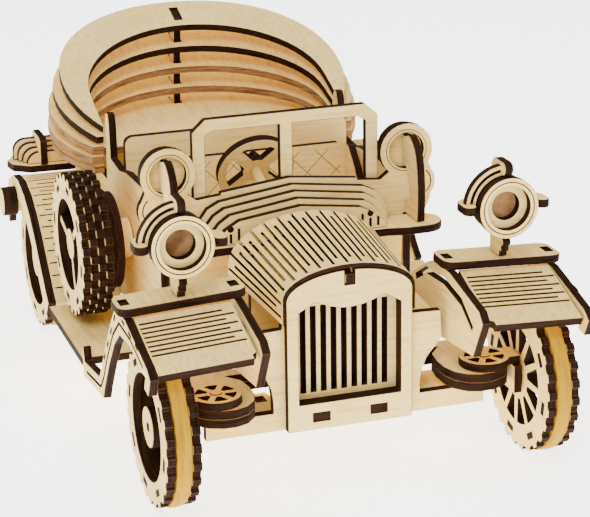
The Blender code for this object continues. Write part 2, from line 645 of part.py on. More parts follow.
def build_running_gear():
    axle_half = WHEEL_OUTER_X - 4.0
    rod("rear_axle", AXLE_RADIUS, -axle_half, axle_half, "X", (0.0, REAR_AXLE_Y, AXLE_Z))

    top = KNUCKLE_Z - GAP
    disc = (KINGPIN_X, FRONT_AXLE_Y)
    half = [(36.5, 17.0), (32.4, 12.0), (31.6, 6.0), (31.8, 0.0), (33.4, -5.0), (36.6, -8.6), (40.8, -10.2),
            (45.0, -10.0), *arc(disc, 7.6, -56.0, 52.0, 8), (51.0, 12.0), (49.4, 17.4), (46.0, 22.0)]
    pins = [circle((side * KINGPIN_X, FRONT_AXLE_Y), BORE_RADIUS, 16) for side in (-1, 1)]
    plate("front_axle_plate", "Z", top - SHEET - PITCH, both_halves(half), pins, thickness=SHEET + PITCH)

    drop = AXLE_Z - KNUCKLE_Z
    reach = 10.8
    for name, side in SIDES:
        origin = (side * KINGPIN_X, FRONT_AXLE_Y, KNUCKLE_Z)
        arm = [*arc((0.0, 0.0), 8.2, 30.0, 330.0, 20), (reach, -4.1), (reach, 4.1)]
        knuckle = plate(f"knuckle_{name}", "Z", 0.0, arm if side > 0 else flipped(arm), origin=origin)
        pin = rod(f"kingpin_{name}", AXLE_RADIUS, -6.4, 1.0, "Z", origin, CUTTERS)
        ends = sorted((side * (reach - 1.4), side * 18.5))
        stub = rod(f"stub_{name}", AXLE_RADIUS, *ends, "X", (origin[0], origin[1], AXLE_Z), CUTTERS)
        hanger = plate(f"hanger_{name}", "X", reach + 0.1 - SHEET if side > 0 else -reach - 0.1,
                       [(-6.0, drop - 4.0), (6.0, drop - 4.0), (6.0, 1.4), (-6.0, 1.4)],
                       collection=CUTTERS, origin=origin)
        combine(knuckle, [hanger, stub, pin])


def build_steering():
    rake = math.radians(STEERING_RAKE)
    origin = Vector((STEERING_X, STEERING_Y - CAR_MIDDLE, STEERING_Z)) * MM
    lean = Matrix.Rotation(rake, 4, "X")
    openings = []
    for spoke in range(4):
        low, high = 90.0 * spoke + 55.0, 90.0 * spoke + 125.0
        openings.append(arc((0.0, 0.0), 10.8, low, high, 6) + arc((0.0, 0.0), 4.6, high - 12.0, low + 12.0, 3))
    mesh = sheet_mesh("steering_wheel", circle((0.0, 0.0), STEERING_RADIUS, 32), openings)
    mesh.transform(lean @ FACING["Y"])
    wheel = add_object("steering_wheel", mesh, CAR)
    wheel.location = origin
    reach = (STEERING_Y - 60.6) / math.cos(rake)
    column = rod("steering_column", 1.7, -1.0, reach, "Y", (0.0, CAR_MIDDLE, 0.0), CUTTERS)
    cap = rod("steering_cap", 5.2, -4.2, 0.0, "Y", (0.0, CAR_MIDDLE, 0.0), CUTTERS, sides=4)
    for piece in (column, cap):
        piece.data.transform(lean)
        piece.location = origin
    combine(wheel, [cap, column])


def main():
    clear_scene()
    build_radiator()
    build_bonnet()
    build_cowl()
    build_body()
    build_folded_top()
    build_luggage()
    build_fenders()
    build_headlamps()
    build_wheels()
    build_running_gear()
    build_steering()


main()
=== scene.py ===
"""Looks of a wooden jigsaw car, cut from pale plywood by laser and pushed together.

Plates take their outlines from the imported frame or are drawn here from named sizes. They get scorched cut
edges, and some get engraved lines, slots and the ends of the tabs that come through them. Lengths are
millimetres until a mesh is made.
"""
import logging
import math
from dataclasses import dataclass, field
from enum import Enum
from typing import Iterable, Sequence

import bmesh
import bpy
from mathutils import Matrix, Vector


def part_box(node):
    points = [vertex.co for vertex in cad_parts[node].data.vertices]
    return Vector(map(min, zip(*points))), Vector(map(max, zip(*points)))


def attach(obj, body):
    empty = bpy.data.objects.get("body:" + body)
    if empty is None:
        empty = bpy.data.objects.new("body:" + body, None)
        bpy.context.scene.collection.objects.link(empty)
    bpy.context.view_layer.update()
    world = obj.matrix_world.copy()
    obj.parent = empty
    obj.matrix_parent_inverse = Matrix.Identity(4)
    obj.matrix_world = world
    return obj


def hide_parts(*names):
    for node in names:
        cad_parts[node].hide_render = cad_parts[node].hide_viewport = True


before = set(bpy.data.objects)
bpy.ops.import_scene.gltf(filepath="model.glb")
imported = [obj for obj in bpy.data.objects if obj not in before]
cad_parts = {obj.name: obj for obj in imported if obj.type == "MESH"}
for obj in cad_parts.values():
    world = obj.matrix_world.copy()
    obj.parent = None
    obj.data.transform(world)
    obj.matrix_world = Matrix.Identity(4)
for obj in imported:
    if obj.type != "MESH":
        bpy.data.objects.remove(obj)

Point = tuple[float, float]
Triple = tuple[float, float, float]
Colour = Triple

LOG = logging.getLogger("jigsaw_car")
MM = 0.001
UP = Vector((0, 0, 1))
ORIGIN: Point = (0.0, 0.0)

CAR_MIDDLE = 92.89
SHEET = 2.7
GLUE_LINE = 0.04
PIN_RADIUS = 2.0
AXLE_HEIGHT = 25.6
REAR_AXLE_Y = 164.8
PEG_CIRCLE = 20.6

FINE_RIM = 0.1
SLIM_RIM = 0.14

CAR_BODY = "car"
WOOD_SLOT = "plywood"
RUBBER_SLOT = "rubber_band"


class Side(Enum):
    """The two hands of the car, with the sign of X on each."""

    LEFT = -1
    RIGHT = 1

    @property
    def word(self) -> str:
        """Name used in the names of pieces."""
        return self.name.lower()


class Row(Enum):
    """The two rows of road wheels."""

    FRONT = "front"
    REAR = "rear"


class Skin(Enum):
    """Order of a plate's material slots."""

    FACE = 0
    EDGE = 1
    SCORCH = 2


# Finishes


class ShaderBench:
    """A new material and the nodes that are wired into it."""

    def __init__(self, name: str) -> None:
        """Start a material with its Principled shader.

        Args:
            name: Name of the material.
        """
        self.material = bpy.data.materials.new(name)
        self.material.use_nodes = True
        self.nodes = self.material.node_tree.nodes
        self.links = self.material.node_tree.links
        self.shader = self.nodes["Principled BSDF"]

    def spot(self) -> bpy.types.NodeSocket:
        """Socket with the place on the piece."""
        return self.nodes.new("ShaderNodeTexCoord").outputs["Object"]

    def mapped(self, spot: bpy.types.NodeSocket, key: str, value: Sequence[float]) -> bpy.types.NodeSocket:
        """Turn or stretch a place.

        Args:
            spot: Socket with the place.
            key: Input of the mapping to set, Rotation or Scale.
            value: What to set it to.

        Returns:
            Socket with the new place.
        """
        made = self.nodes.new("ShaderNodeMapping")
        made.inputs[key].default_value = value
        self.links.new(spot, made.inputs["Vector"])
        return made.outputs["Vector"]

    def noise(self, spot: bpy.types.NodeSocket, scale: float, detail: float) -> bpy.types.NodeSocket:
        """Add a noise texture.

        Args:
            spot: Socket with the place.
            scale: Scale of the noise.
            detail: Octaves of detail.

        Returns:
            The noise's factor socket.
        """
        made = self.nodes.new("ShaderNodeTexNoise")
        made.inputs["Scale"].default_value = scale
        made.inputs["Detail"].default_value = detail
        self.links.new(spot, made.inputs["Vector"])
        return made.outputs["Fac"]

    def ramp(self, factor: bpy.types.NodeSocket,
             stops: Sequence[tuple[float, Colour]]) -> bpy.types.NodeSocket:
        """Add a colour ramp.

        Args:
            factor: Socket that drives the ramp.
            stops: Place and colour of each stop.

        Returns:
            The ramp's colour socket.
        """
        made = self.nodes.new("ShaderNodeValToRGB")
        band = made.color_ramp
        while len(band.elements) < len(stops):
            band.elements.new(0.5)
        for element, (place, colour) in zip(band.elements, stops):
            element.position = place
            element.color = (*colour, 1.0)
        self.links.new(factor, made.inputs["Fac"])
        return made.outputs["Color"]

    def product(self, first: bpy.types.NodeSocket, second: bpy.types.NodeSocket) -> bpy.types.NodeSocket:
        """Multiply two colours.

        Args:
            first: Socket with one colour.
            second: Socket with the other colour.

        Returns:
            Socket with their product.
        """
        made = self.nodes.new("ShaderNodeMix")
        made.data_type = "RGBA"
        made.blend_type = "MULTIPLY"
        made.inputs["Factor"].default_value = 1.0
        self.links.new(first, made.inputs["A"])
        self.links.new(second, made.inputs["B"])
        return made.outputs["Result"]

    def bump(self, height: bpy.types.NodeSocket, strength: float, depth: float) -> None:
        """Feed a height into the shader's normal.

        Args:
            height: Socket with the height.
            strength: Strength of the bump.
            depth: Depth of the bump in millimetres.
        """
        made = self.nodes.new("ShaderNodeBump")
        made.inputs["Strength"].default_value = strength
        made.inputs["Distance"].default_value = depth * MM
        self.links.new(height, made.inputs["Height"])
        self.links.new(made.outputs["Normal"], self.shader.inputs["Normal"])

    def dress(self, colour: bpy.types.NodeSocket, roughness: float, specular: float) -> bpy.types.Material:
        """Wire the colour in and set the sheen.

        Args:
            colour: Socket with the colour.
            roughness: Roughness of the surface.
            specular: Level of its reflection.

        Returns:
            The finished material.
        """
        self.links.new(colour, self.shader.inputs["Base Color"])
        self.shader.inputs["Roughness"].default_value = roughness
        self.shader.inputs["Specular IOR Level"].default_value = specular
        return self.material


@dataclass(frozen=True)
class BirchFace:
    """Bare birch veneer: pale, finely streaked along its grain and a little warmer in patches."""

    light: Colour = (0.94, 0.69, 0.25)
    dark: Colour = (0.80, 0.54, 0.16)
    warm: Colour = (0.93, 0.88, 0.80)
    grain: Triple = (0.1, 1.0, 1.0)
    streak_scale: float = 900.0
    patch_scale: float = 45.0
    roughness: float = 0.62
    specular: float = 0.12

    def material(self, name: str) -> bpy.types.Material:
        """Build the veneer's shader.

        Args:
            name: Name of the material.

        Returns:
            The material.
        """
        bench = ShaderBench(name)
        spot = bench.spot()
        fibres = bench.mapped(spot, "Scale", tuple(self.streak_scale * share for share in self.grain))
        streaks = bench.noise(fibres, 1.0, 4.0)
        veneer = bench.ramp(streaks, ((0.30, self.dark), (0.52, self.light), (0.75, self.light)))
        clouds = bench.noise(spot, self.patch_scale, 2.0)
        patches = bench.ramp(clouds, ((0.25, self.warm), (0.65, (1.0, 1.0, 1.0))))
        bench.bump(streaks, 0.12, 0.06)
        return bench.dress(bench.product(veneer, patches), self.roughness, self.specular)


@dataclass(frozen=True)
class BurntEdge:
    """A laser-cut edge: charred brown, with the plies as paler and darker lines along the sheet."""

    char: Colour = (0.005, 0.002, 0.001)
    toast: Colour = (0.026, 0.010, 0.004)
    roughness: float = 0.75
    specular: float = 0.06
    ply_scale: Triple = (90.0, 90.0, 1500.0)

    def material(self, name: str, across: Vector) -> bpy.types.Material:
        """Build the cut edge's shader for sheets that face one way.

        Args:
            name: Name of the material.
            across: Direction through the sheet's thickness.

        Returns:
            The material.
        """
        bench = ShaderBench(name)
        turned = bench.mapped(bench.spot(), "Rotation", across.rotation_difference(UP).to_euler())
        plies = bench.noise(bench.mapped(turned, "Scale", self.ply_scale), 1.0, 3.0)
        colour = bench.ramp(plies, ((0.34, self.char), (0.55, self.toast), (0.72, self.char)))
        bench.bump(plies, 0.3, 0.12)
        return bench.dress(colour, self.roughness, self.specular)


SCORCHED_RIM = BurntEdge(char=(0.022, 0.011, 0.007), toast=(0.075, 0.034, 0.016), roughness=0.6)
# Lighter burn for cut edges; the same colours also serve as painted shade on the face of the headlamp's closed
# ring.
TOASTED_EDGE_OR_PAINTED_SHADE = BurntEdge(char=(0.13, 0.055, 0.02), toast=(0.36, 0.19, 0.075))


@dataclass(frozen=True)
class MustardRubber:
    """Stretched rubber band, mustard yellow, with faint long wrinkles."""

    pale: Colour = (0.45, 0.245, 0.006)
    deep: Colour = (0.33, 0.165, 0.004)
    roughness: float = 0.7
    specular: float = 0.1
    wrinkle_scale: Triple = (900.0, 110.0, 110.0)

    def material(self, name: str) -> bpy.types.Material:
        """Build the rubber's shader.

        Args:
            name: Name of the material.

        Returns:
            The material.
        """
        bench = ShaderBench(name)
        wrinkles = bench.noise(bench.mapped(bench.spot(), "Scale", self.wrinkle_scale), 1.0, 3.0)
        bench.bump(wrinkles, 0.2, 0.1)
        colour = bench.ramp(wrinkles, ((0.3, self.deep), (0.6, self.pale)))
        return bench.dress(colour, self.roughness, self.specular)


# Outlines, as (across, up) points


def arc(centre: Point, radius: float, start: float, end: float, steps: int = 8) -> list[Point]:
    """Points along a circle's arc.

    Args:
        centre: Centre of the circle.
        radius: Radius of the circle.
        start: First angle, in degrees.
        end: Last angle, in degrees.
        steps: Number of chords.

    Returns:
        The points, both ends included.
    """
    turns = [math.radians(start + (end - start) * step / steps) for step in range(steps + 1)]
    return [(centre[0] + radius * math.cos(turn), centre[1] + radius * math.sin(turn)) for turn in turns]


def polar(radius: float, turn: float) -> Point:
    """Point at a radius and an angle in degrees."""
    return radius * math.cos(math.radians(turn)), radius * math.sin(math.radians(turn))


def circle(radius: float, steps: int = 48, centre: Point = ORIGIN) -> list[Point]:
    """Points round a whole circle."""
    return arc(centre, radius, 0.0, 360.0, steps)[:-1]


def box(low: Point, high: Point) -> list[Point]:
    """Corners of a rectangle."""
    return [low, (high[0], low[1]), high, (low[0], high[1])]


def bar(centre: Point, length: float, width: float, turn: float = 0.0) -> list[Point]:
    """Corners of a slim rectangle about a centre.

    Args:
        centre: Centre of the rectangle.
        length: Its size along its own run.
        width: Its size across the run.
        turn: Angle of the run, in degrees.

    Returns:
        The four corners.
    """
    along = Vector(polar(1.0, turn))
    across = Vector((-along.y, along.x))
    middle = Vector(centre)
    signs = ((-1, -1), (1, -1), (1, 1), (-1, 1))
    return [tuple(middle + along * (a * length / 2) + across * (b * width / 2)) for a, b in signs]


def line(start: Point, end: Point, width: float) -> list[Point]:
    """Corners of an engraved line from one point to another.

    Args:
        start: One end.
        end: The other end.
        width: Width of the line.

    Returns:
        The four corners.
    """
    run = Vector(end) - Vector(start)
    centre = tuple(Vector(start) + run / 2)
    return bar(centre, run.length, width, math.degrees(math.atan2(run.y, run.x)))


def toothed(radius: float, root: float, count: int, phase: float = 0.0) -> list[Point]:
    """Tread outline with soft square teeth.

    Args:
        radius: Radius at the tips.
        root: Radius between the teeth.
        count: Number of teeth.
        phase: Share of a tooth by which the tread is turned.

    Returns:
        The outline's points.
    """
    shares = ((0.06, radius), (0.44, radius), (0.56, root), (0.94, root))
    points = []
    for tooth in range(count):
        points += [polar(reach, 360.0 * (tooth + phase + share) / count) for share, reach in shares]
    return points


def ring(radius: float, width: float, centre: Point = ORIGIN, steps: int = 48) -> list[list[Point]]:
    """Loops of an engraved circle.

    Args:
        radius: Radius of the line's middle.
        width: Width of the line.
        centre: Centre of the circle.
        steps: Number of chords.

    Returns:
        The outer and the inner loop.
    """
    return [circle(radius + width / 2, steps, centre), circle(radius - width / 2, steps, centre)]


def curved_bar(centre: Point, radius: float, width: float, start: float, end: float,
               steps: int = 12) -> list[Point]:
    """Outline of a bar bent along a circle.

    Args:
        centre: Centre of the circle.
        radius: Radius of the bar's middle.
        width: Width of the bar.
        start: First angle, in degrees.
        end: Last angle, in degrees.
        steps: Number of chords.

    Returns:
        The outline's points.
    """
    return (arc(centre, radius + width / 2, start, end, steps)
            + arc(centre, radius - width / 2, end, start, steps))


def path_bar(path: Sequence[Point], width: float) -> list[Point]:
    """Outline of an engraved line that follows a path.

    Args:
        path: Three or more points.
        width: Width of the line.

    Returns:
        The outline's points.
    """
    left, right = [], []
    for index, point in enumerate(path):
        before, after = path[max(index - 1, 0)], path[min(index + 1, len(path) - 1)]
        run = (Vector(after) - Vector(before)).normalized() * (width / 2)
        left.append((point[0] - run.y, point[1] + run.x))
        right.append((point[0] + run.y, point[1] - run.x))
    return left + list(reversed(right))


def mirrored(points: Sequence[Point]) -> list[Point]:
    """The same outline on the other hand of the car."""
    return [(-across, up) for across, up in reversed(points)]


def both_halves(right_half: Sequence[Point]) -> list[Point]:
    """Close an outline given up its right half from bottom to top."""
    return list(right_half) + mirrored(right_half)


def car_point(x: float, y: float, z: float) -> Vector:
    """Row-frame place in metres of a point given in the car's own millimetres, y back from the radiator."""
    return Vector((x * MM, (y - CAR_MIDDLE) * MM, z * MM))


def plane(facing: str, x: float = 0.0, y: float = 0.0, z: float = 0.0) -> Matrix:
    """Matrix from a drawing to a plate that faces along an axis.

    Args:
        facing: The axis through the sheet's thickness, X, Y or Z.
        x: Car place of the drawing's origin.
        y: Car place of the drawing's origin.
        z: Car place of the drawing's origin.

    Returns:
        The placing matrix, in metres. An X plate is drawn as (y, z), a Y plate as (x, z) and a Z plate as
        (x, y).
    """
    turns = {
        "X": Matrix(((0, 0, 1), (1, 0, 0), (0, 1, 0))),
        "Y": Matrix(((1, 0, 0), (0, 0, -1), (0, 1, 0))),
        "Z": Matrix.Identity(3),
    }
    return Matrix.Translation(car_point(x, y, z)) @ turns[facing].to_4x4()


# Making plates


@dataclass
class Workshop:
    """Cuts, engraves and finishes plates, and hangs them on the car's bodies."""

    scorch_width: float = 0.2
    scorch_angle: float = 38.0
    engraving_depth: float = 0.35
    draft_turn: float = 0.37
    edges: dict[tuple, bpy.types.Material] = field(default_factory=dict)
    faces: dict[tuple, bpy.types.Material] = field(default_factory=dict)

    def __post_init__(self) -> None:
        """Make the finishes that every plate shares."""
        self.scorch = SCORCHED_RIM.material("scorched_rim", UP)
        self.rubber = MustardRubber().material("mustard_rubber")

    def face(self, across: Vector) -> bpy.types.Material:
        """Veneer for sheets that face one way, its grain along the car where it can be.

        Args:
            across: Direction through the sheet's thickness.

        Returns:
            The veneer, made on first use.
        """
        grain = (1.0, 0.07, 1.0) if abs(across.y) < 0.7 else (0.07, 1.0, 1.0)
        if grain not in self.faces:
            self.faces[grain] = BirchFace(grain=grain).material(f"birch_face_{len(self.faces) + 1}")
        return self.faces[grain]

    def edge(self, across: Vector) -> bpy.types.Material:
        """Cut edge for sheets that face one way.

        Args:
            across: Direction through the sheet's thickness.

        Returns:
            The edge's finish, made on first use.
        """
        key = tuple(round(abs(part), 2) for part in across)
        if key not in self.edges:
            self.edges[key] = BurntEdge().material(f"burnt_edge_{len(self.edges) + 1}", across)
        return self.edges[key]

    def toasted(self, across: Vector) -> bpy.types.Material:
        """Lightly burnt edge for sheets that face one way, also used as painted shade on the face of the
        headlamp's closed ring.

        Args:
            across: Direction through the sheet's thickness.

        Returns:
            The edge's finish, made on first use.
        """
        name = f"toasted_edge_{max(range(3), key=lambda axis: abs(across[axis]))}"
        return bpy.data.materials.get(name) or TOASTED_EDGE_OR_PAINTED_SHADE.material(name, across)

    def flat_mesh(self, name: str, outline: Sequence[Point], holes: Iterable[Sequence[Point]] = (),
                  thickness: float = SHEET) -> bpy.types.Mesh:
        """Extrude a flat drawing, centred on its own plane.

        The drawing is turned a little while it is filled, so that no two of its corners stand on one upright.

        Args:
            name: Name of the mesh.
            outline: Outer outline.
            holes: Outlines of the holes.
            thickness: Thickness of the sheet.

        Returns:
            The closed mesh, in metres.
        """
        slant = Matrix.Rotation(self.draft_turn, 4, "Z")
        curve = bpy.data.curves.new(name, "CURVE")
        curve.dimensions = "2D"
        curve.fill_mode = "BOTH"
        curve.extrude = 0.5 * thickness * MM
        for loop in (outline, *holes):
            spline = curve.splines.new("POLY")
            spline.points.add(len(loop) - 1)
            for point, (across, up) in zip(spline.points, loop):
                point.co = (*(slant @ Vector((across * MM, up * MM, 0.0))), 1.0)
            spline.use_cyclic_u = True
        draft = bpy.data.objects.new(name, curve)
        bpy.context.scene.collection.objects.link(draft)
        bpy.context.view_layer.update()
        mesh = bpy.data.meshes.new_from_object(draft.evaluated_get(bpy.context.evaluated_depsgraph_get()))
        bpy.data.objects.remove(draft)
        bpy.data.curves.remove(curve)
        mesh.transform(slant.inverted())
        mesh.name = name
        return mesh

    @staticmethod
    def weld(mesh: bpy.types.Mesh, across: Vector) -> None:
        """Weld a sheet's mesh, merge its flat faces and mark which are faces and which are cut edges.

        Args:
            mesh: The mesh to work on.
            across: Direction through the sheet's thickness.
        """
        work = bmesh.new()
        work.from_mesh(mesh)
        bmesh.ops.remove_doubles(work, verts=work.verts, dist=2e-6)
        bmesh.ops.recalc_face_normals(work, faces=work.faces)
        bmesh.ops.dissolve_limit(work, angle_limit=math.radians(1.0), verts=work.verts, edges=work.edges)
        for flat in work.faces:
            flat.smooth = False
            skin = Skin.FACE if abs(flat.normal.dot(across)) > 0.9 else Skin.EDGE
            flat.material_index = skin.value
        work.to_mesh(mesh)
        work.free()

    @staticmethod
    def facing_of(mesh: bpy.types.Mesh) -> Vector:
        """Direction through a sheet: the normal that the largest share of its surface has.

        Args:
            mesh: The sheet's mesh.

        Returns:
            The direction, of length one.
        """
        areas: dict[tuple, float] = {}
        for flat in mesh.polygons:
            normal = flat.normal if flat.normal[:] > (-flat.normal)[:] else -flat.normal
            key = tuple(round(part, 2) for part in normal)
            areas[key] = areas.get(key, 0.0) + flat.area
        return Vector(max(areas, key=areas.get)).normalized()

    @staticmethod
    def settle(piece: bpy.types.Object) -> None:
        """Apply a piece's modifiers to its mesh.

        Args:
            piece: The piece.
        """
        bpy.context.view_layer.update()
        evaluated = piece.evaluated_get(bpy.context.evaluated_depsgraph_get())
        mesh = bpy.data.meshes.new_from_object(evaluated)
        piece.modifiers.clear()
        piece.data = mesh

    @staticmethod
    def burn(piece: bpy.types.Object) -> None:
        """Give a piece's whole surface the cut edge's finish, as burn on the ends of tabs and as painted shade
        on the thin sheet behind the radiator's slats.

        Args:
            piece: The piece.
        """
        for flat in piece.data.polygons:
            flat.material_index = Skin.EDGE.value

    def carve(self, piece: bpy.types.Object, work: bmesh.types.BMesh, place: Matrix) -> None:
        """Take a solid away from a piece and give the walls that it leaves the cut edge's finish.

        Args:
            piece: The piece to carve.
            work: The solid, which is freed.
            place: Matrix from the solid to the row frame.
        """
        for flat in work.faces:
            flat.material_index = Skin.EDGE.value
        mesh = bpy.data.meshes.new("cutter")
        work.to_mesh(mesh)
        work.free()
        mesh.transform(place)
        for slot in piece.data.materials:
            mesh.materials.append(slot)
        cutter = bpy.data.objects.new("cutter", mesh)
        bpy.context.scene.collection.objects.link(cutter)
        step = piece.modifiers.new("cut", "BOOLEAN")
        step.operation = "DIFFERENCE"
        step.solver = "EXACT"
        step.object = cutter
        self.settle(piece)
        bpy.data.objects.remove(cutter)

    def joined(self, shapes: Iterable[Sequence[Sequence[Point]]], thickness: float) -> bmesh.types.BMesh:
        """Extrude several drawings side by side into one solid.

        Args:
            shapes: Loops of each drawing, the outline first and then its holes.
            thickness: Thickness of the solid.

        Returns:
            The solid, for the caller to free.
        """
        work = bmesh.new()
        for outline, *holes in shapes:
            mesh = self.flat_mesh("drawing", outline, holes, thickness)
            work.from_mesh(mesh)
            bpy.data.meshes.remove(mesh)
        return work

    def cut(self, piece: bpy.types.Object, place: Matrix, shapes: Iterable[Sequence[Sequence[Point]]],
            depth: float) -> None:
        """Cut shapes that don't overlap into a piece, both ways from a drawing's plane.

        Args:
            piece: The piece to cut.
            place: Matrix from the drawing to the row frame.
            shapes: Loops of each cut, the outline first and then its holes.
            depth: Reach of the cut on each side of the plane.
        """
        work = self.joined(shapes, 2.0 * depth)
        bmesh.ops.remove_doubles(work, verts=work.verts, dist=1e-7)
        bmesh.ops.recalc_face_normals(work, faces=work.faces)
        self.carve(piece, work, place)

    def finish(self, piece: bpy.types.Object, body: str, nodes: Sequence[str] = (),
               width: float = 0.0) -> bpy.types.Object:
        """Scorch a piece's rims and hang it on its body.

        Args:
            piece: The piece, in place.
            body: Body that it rides on.
            nodes: CAD nodes that it stands for.
            width: Width of the scorched rim, or 0 for the usual one.

        Returns:
            The piece.
        """
        rim = piece.modifiers.new("scorch", "BEVEL")
        rim.width = (width or self.scorch_width) * MM
        rim.segments = 1
        rim.limit_method = "ANGLE"
        rim.angle_limit = math.radians(self.scorch_angle)
        rim.material = Skin.SCORCH.value
        self.settle(piece)
        piece.data.name = piece.name
        return self.hang(piece, body, nodes, WOOD_SLOT)

    @staticmethod
    def hang(piece: bpy.types.Object, body: str, nodes: Sequence[str], slot: str) -> bpy.types.Object:
        """Hang a piece on its body and hide the CAD nodes that it stands for.

        Args:
            piece: The piece, in place.
            body: Body that it rides on.
            nodes: CAD nodes that it stands for.
            slot: Not used.

        Returns:
            The piece.
        """
        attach(piece, body)
        if nodes:
            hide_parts(*nodes)
        LOG.info("%s rides on %s", piece.name, body)
        return piece

    def clad(self, name: str, mesh: bpy.types.Mesh, across: Vector) -> bpy.types.Object:
        """Make an object of a sheet's mesh and give it its three finishes.

        Args:
            name: Name of the piece.
            mesh: Its mesh, in the row frame.
            across: Direction through the sheet.

        Returns:
            The object.
        """
        mesh.materials.clear()
        for made in (self.face(across), self.edge(across), self.scorch):
            mesh.materials.append(made)
        self.weld(mesh, across)
        piece = bpy.data.objects.new(name, mesh)
        bpy.context.scene.collection.objects.link(piece)
        return piece

    def recut(self, node: str) -> bpy.types.Object:
        """Start a plate from a CAD node's own outline.

        Args:
            node: The CAD node.

        Returns:
            The plate, not yet finished.
        """
        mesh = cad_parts[node].data.copy()
        return self.clad(f"{node}_ply", mesh, self.facing_of(mesh))

    def keep(self, *nodes: str) -> None:
        """Make finished plates of CAD nodes that are drawn just as they are.

        Args:
            nodes: The CAD nodes.
        """
        for node in nodes:
            self.finish(self.recut(node), CAR_BODY, [node])

    def plate(self, name: str, place: Matrix, outline: Sequence[Point], holes: Iterable[Sequence[Point]] = (),
              thickness: float = SHEET) -> bpy.types.Object:
        """Cut a new plate from a drawing.

        Args:
            name: Name of the piece.
            place: Matrix from the drawing to the row frame, in the middle of the sheet.
            outline: Outer outline.
            holes: Outlines of the holes.
            thickness: Thickness of the sheet.

        Returns:
            The plate, not yet finished.
        """
        mesh = self.flat_mesh(name, outline, holes, thickness)
        mesh.transform(place)
        return self.clad(name, mesh, (place.to_3x3() @ UP).normalized())

    def tab_ends(self, name: str, place: Matrix, shapes: Iterable[Sequence[Point]], body: str,
                 thickness: float = 0.5) -> bpy.types.Object:
        """Burnt ends of tabs that come through another plate, a hair proud of it.

        Args:
            name: Name of the piece.
            place: Matrix from the drawing to the plate's surface.
            shapes: Outline of each tab's end.
            body: Body that they ride on.
            thickness: Height of the piece.

        Returns:
            The finished piece.
        """
        work = self.joined([[shape] for shape in shapes], thickness)
        mesh = bpy.data.meshes.new(name)
        work.to_mesh(mesh)
        work.free()
        mesh.transform(place)
        piece = self.clad(name, mesh, (place.to_3x3() @ UP).normalized())
        self.burn(piece)
        return self.finish(piece, body, width=FINE_RIM)

    def rod(self, name: str, start: Vector, end: Vector, radius: float, body: str, dark: bool = False,
            nodes: Sequence[str] = ()) -> bpy.types.Object:
        """Turn a round dowel between two points.

        Args:
            name: Name of the piece.
            start: First end, in metres.
            end: Other end, in metres.
            radius: Radius in millimetres.
            body: Body that it rides on.
            dark: Whether its side is burnt.
            nodes: CAD nodes that it stands for.

        Returns:
            The finished piece.
        """
        run = end - start
        turn = UP.rotation_difference(run.normalized()).to_matrix().to_4x4()
        mesh = self.flat_mesh(name, circle(radius, 24), thickness=run.length / MM)
        mesh.transform(Matrix.Translation((start + end) / 2) @ turn)
        piece = self.clad(name, mesh, run.normalized())
        if not dark:
            for flat in piece.data.polygons:
                flat.material_index = Skin.FACE.value
        return self.finish(piece, body, nodes)


# Sub-assemblies


@dataclass
class Radiator:
    """Radiator: arched front plate, slat plate before a thin dark sheet of painted shade, and the wide cross
    plate behind.
    """

    shop: Workshop
    tab: Point = (5.2, 2.5)
    tab_centre: Point = (9.7, 19.7)
    tab_y: float = 0.6
    # Place and size of the thin dark sheet behind the slats, which is painted shade.
    shade_sheet_y: float = 9.5
    shade_sheet_corners: tuple[Point, Point] = ((-18.6, 23.0), (18.6, 59.0))
    shade_sheet_thickness: float = 0.8

    def build(self) -> None:
        """Make the radiator's plates, the tab ends in its foot and the dark sheet of painted shade behind the
        slats.
        """
        shop = self.shop
        shop.keep("radiator_front_plate")
        ends = [bar((sign * self.tab_centre[0], self.tab_centre[1]), *self.tab) for sign in (-1, 1)]
        shop.tab_ends("radiator_tab_ends", plane("Y", y=self.tab_y), ends, CAR_BODY, thickness=1.0)
        shop.keep("radiator_slat_plate")
        # Painted shade: a thin sheet in the burnt finish all over, behind the slats, so that their gaps read as
        # shadow.
        shade_sheet = shop.plate("radiator_shade_sheet", plane("Y", y=self.shade_sheet_y), box(*self.shade_sheet_corners),
                           thickness=self.shade_sheet_thickness)
        shop.burn(shade_sheet)
        shop.finish(shade_sheet, CAR_BODY, width=FINE_RIM)
        shop.keep("front_cross_plate")


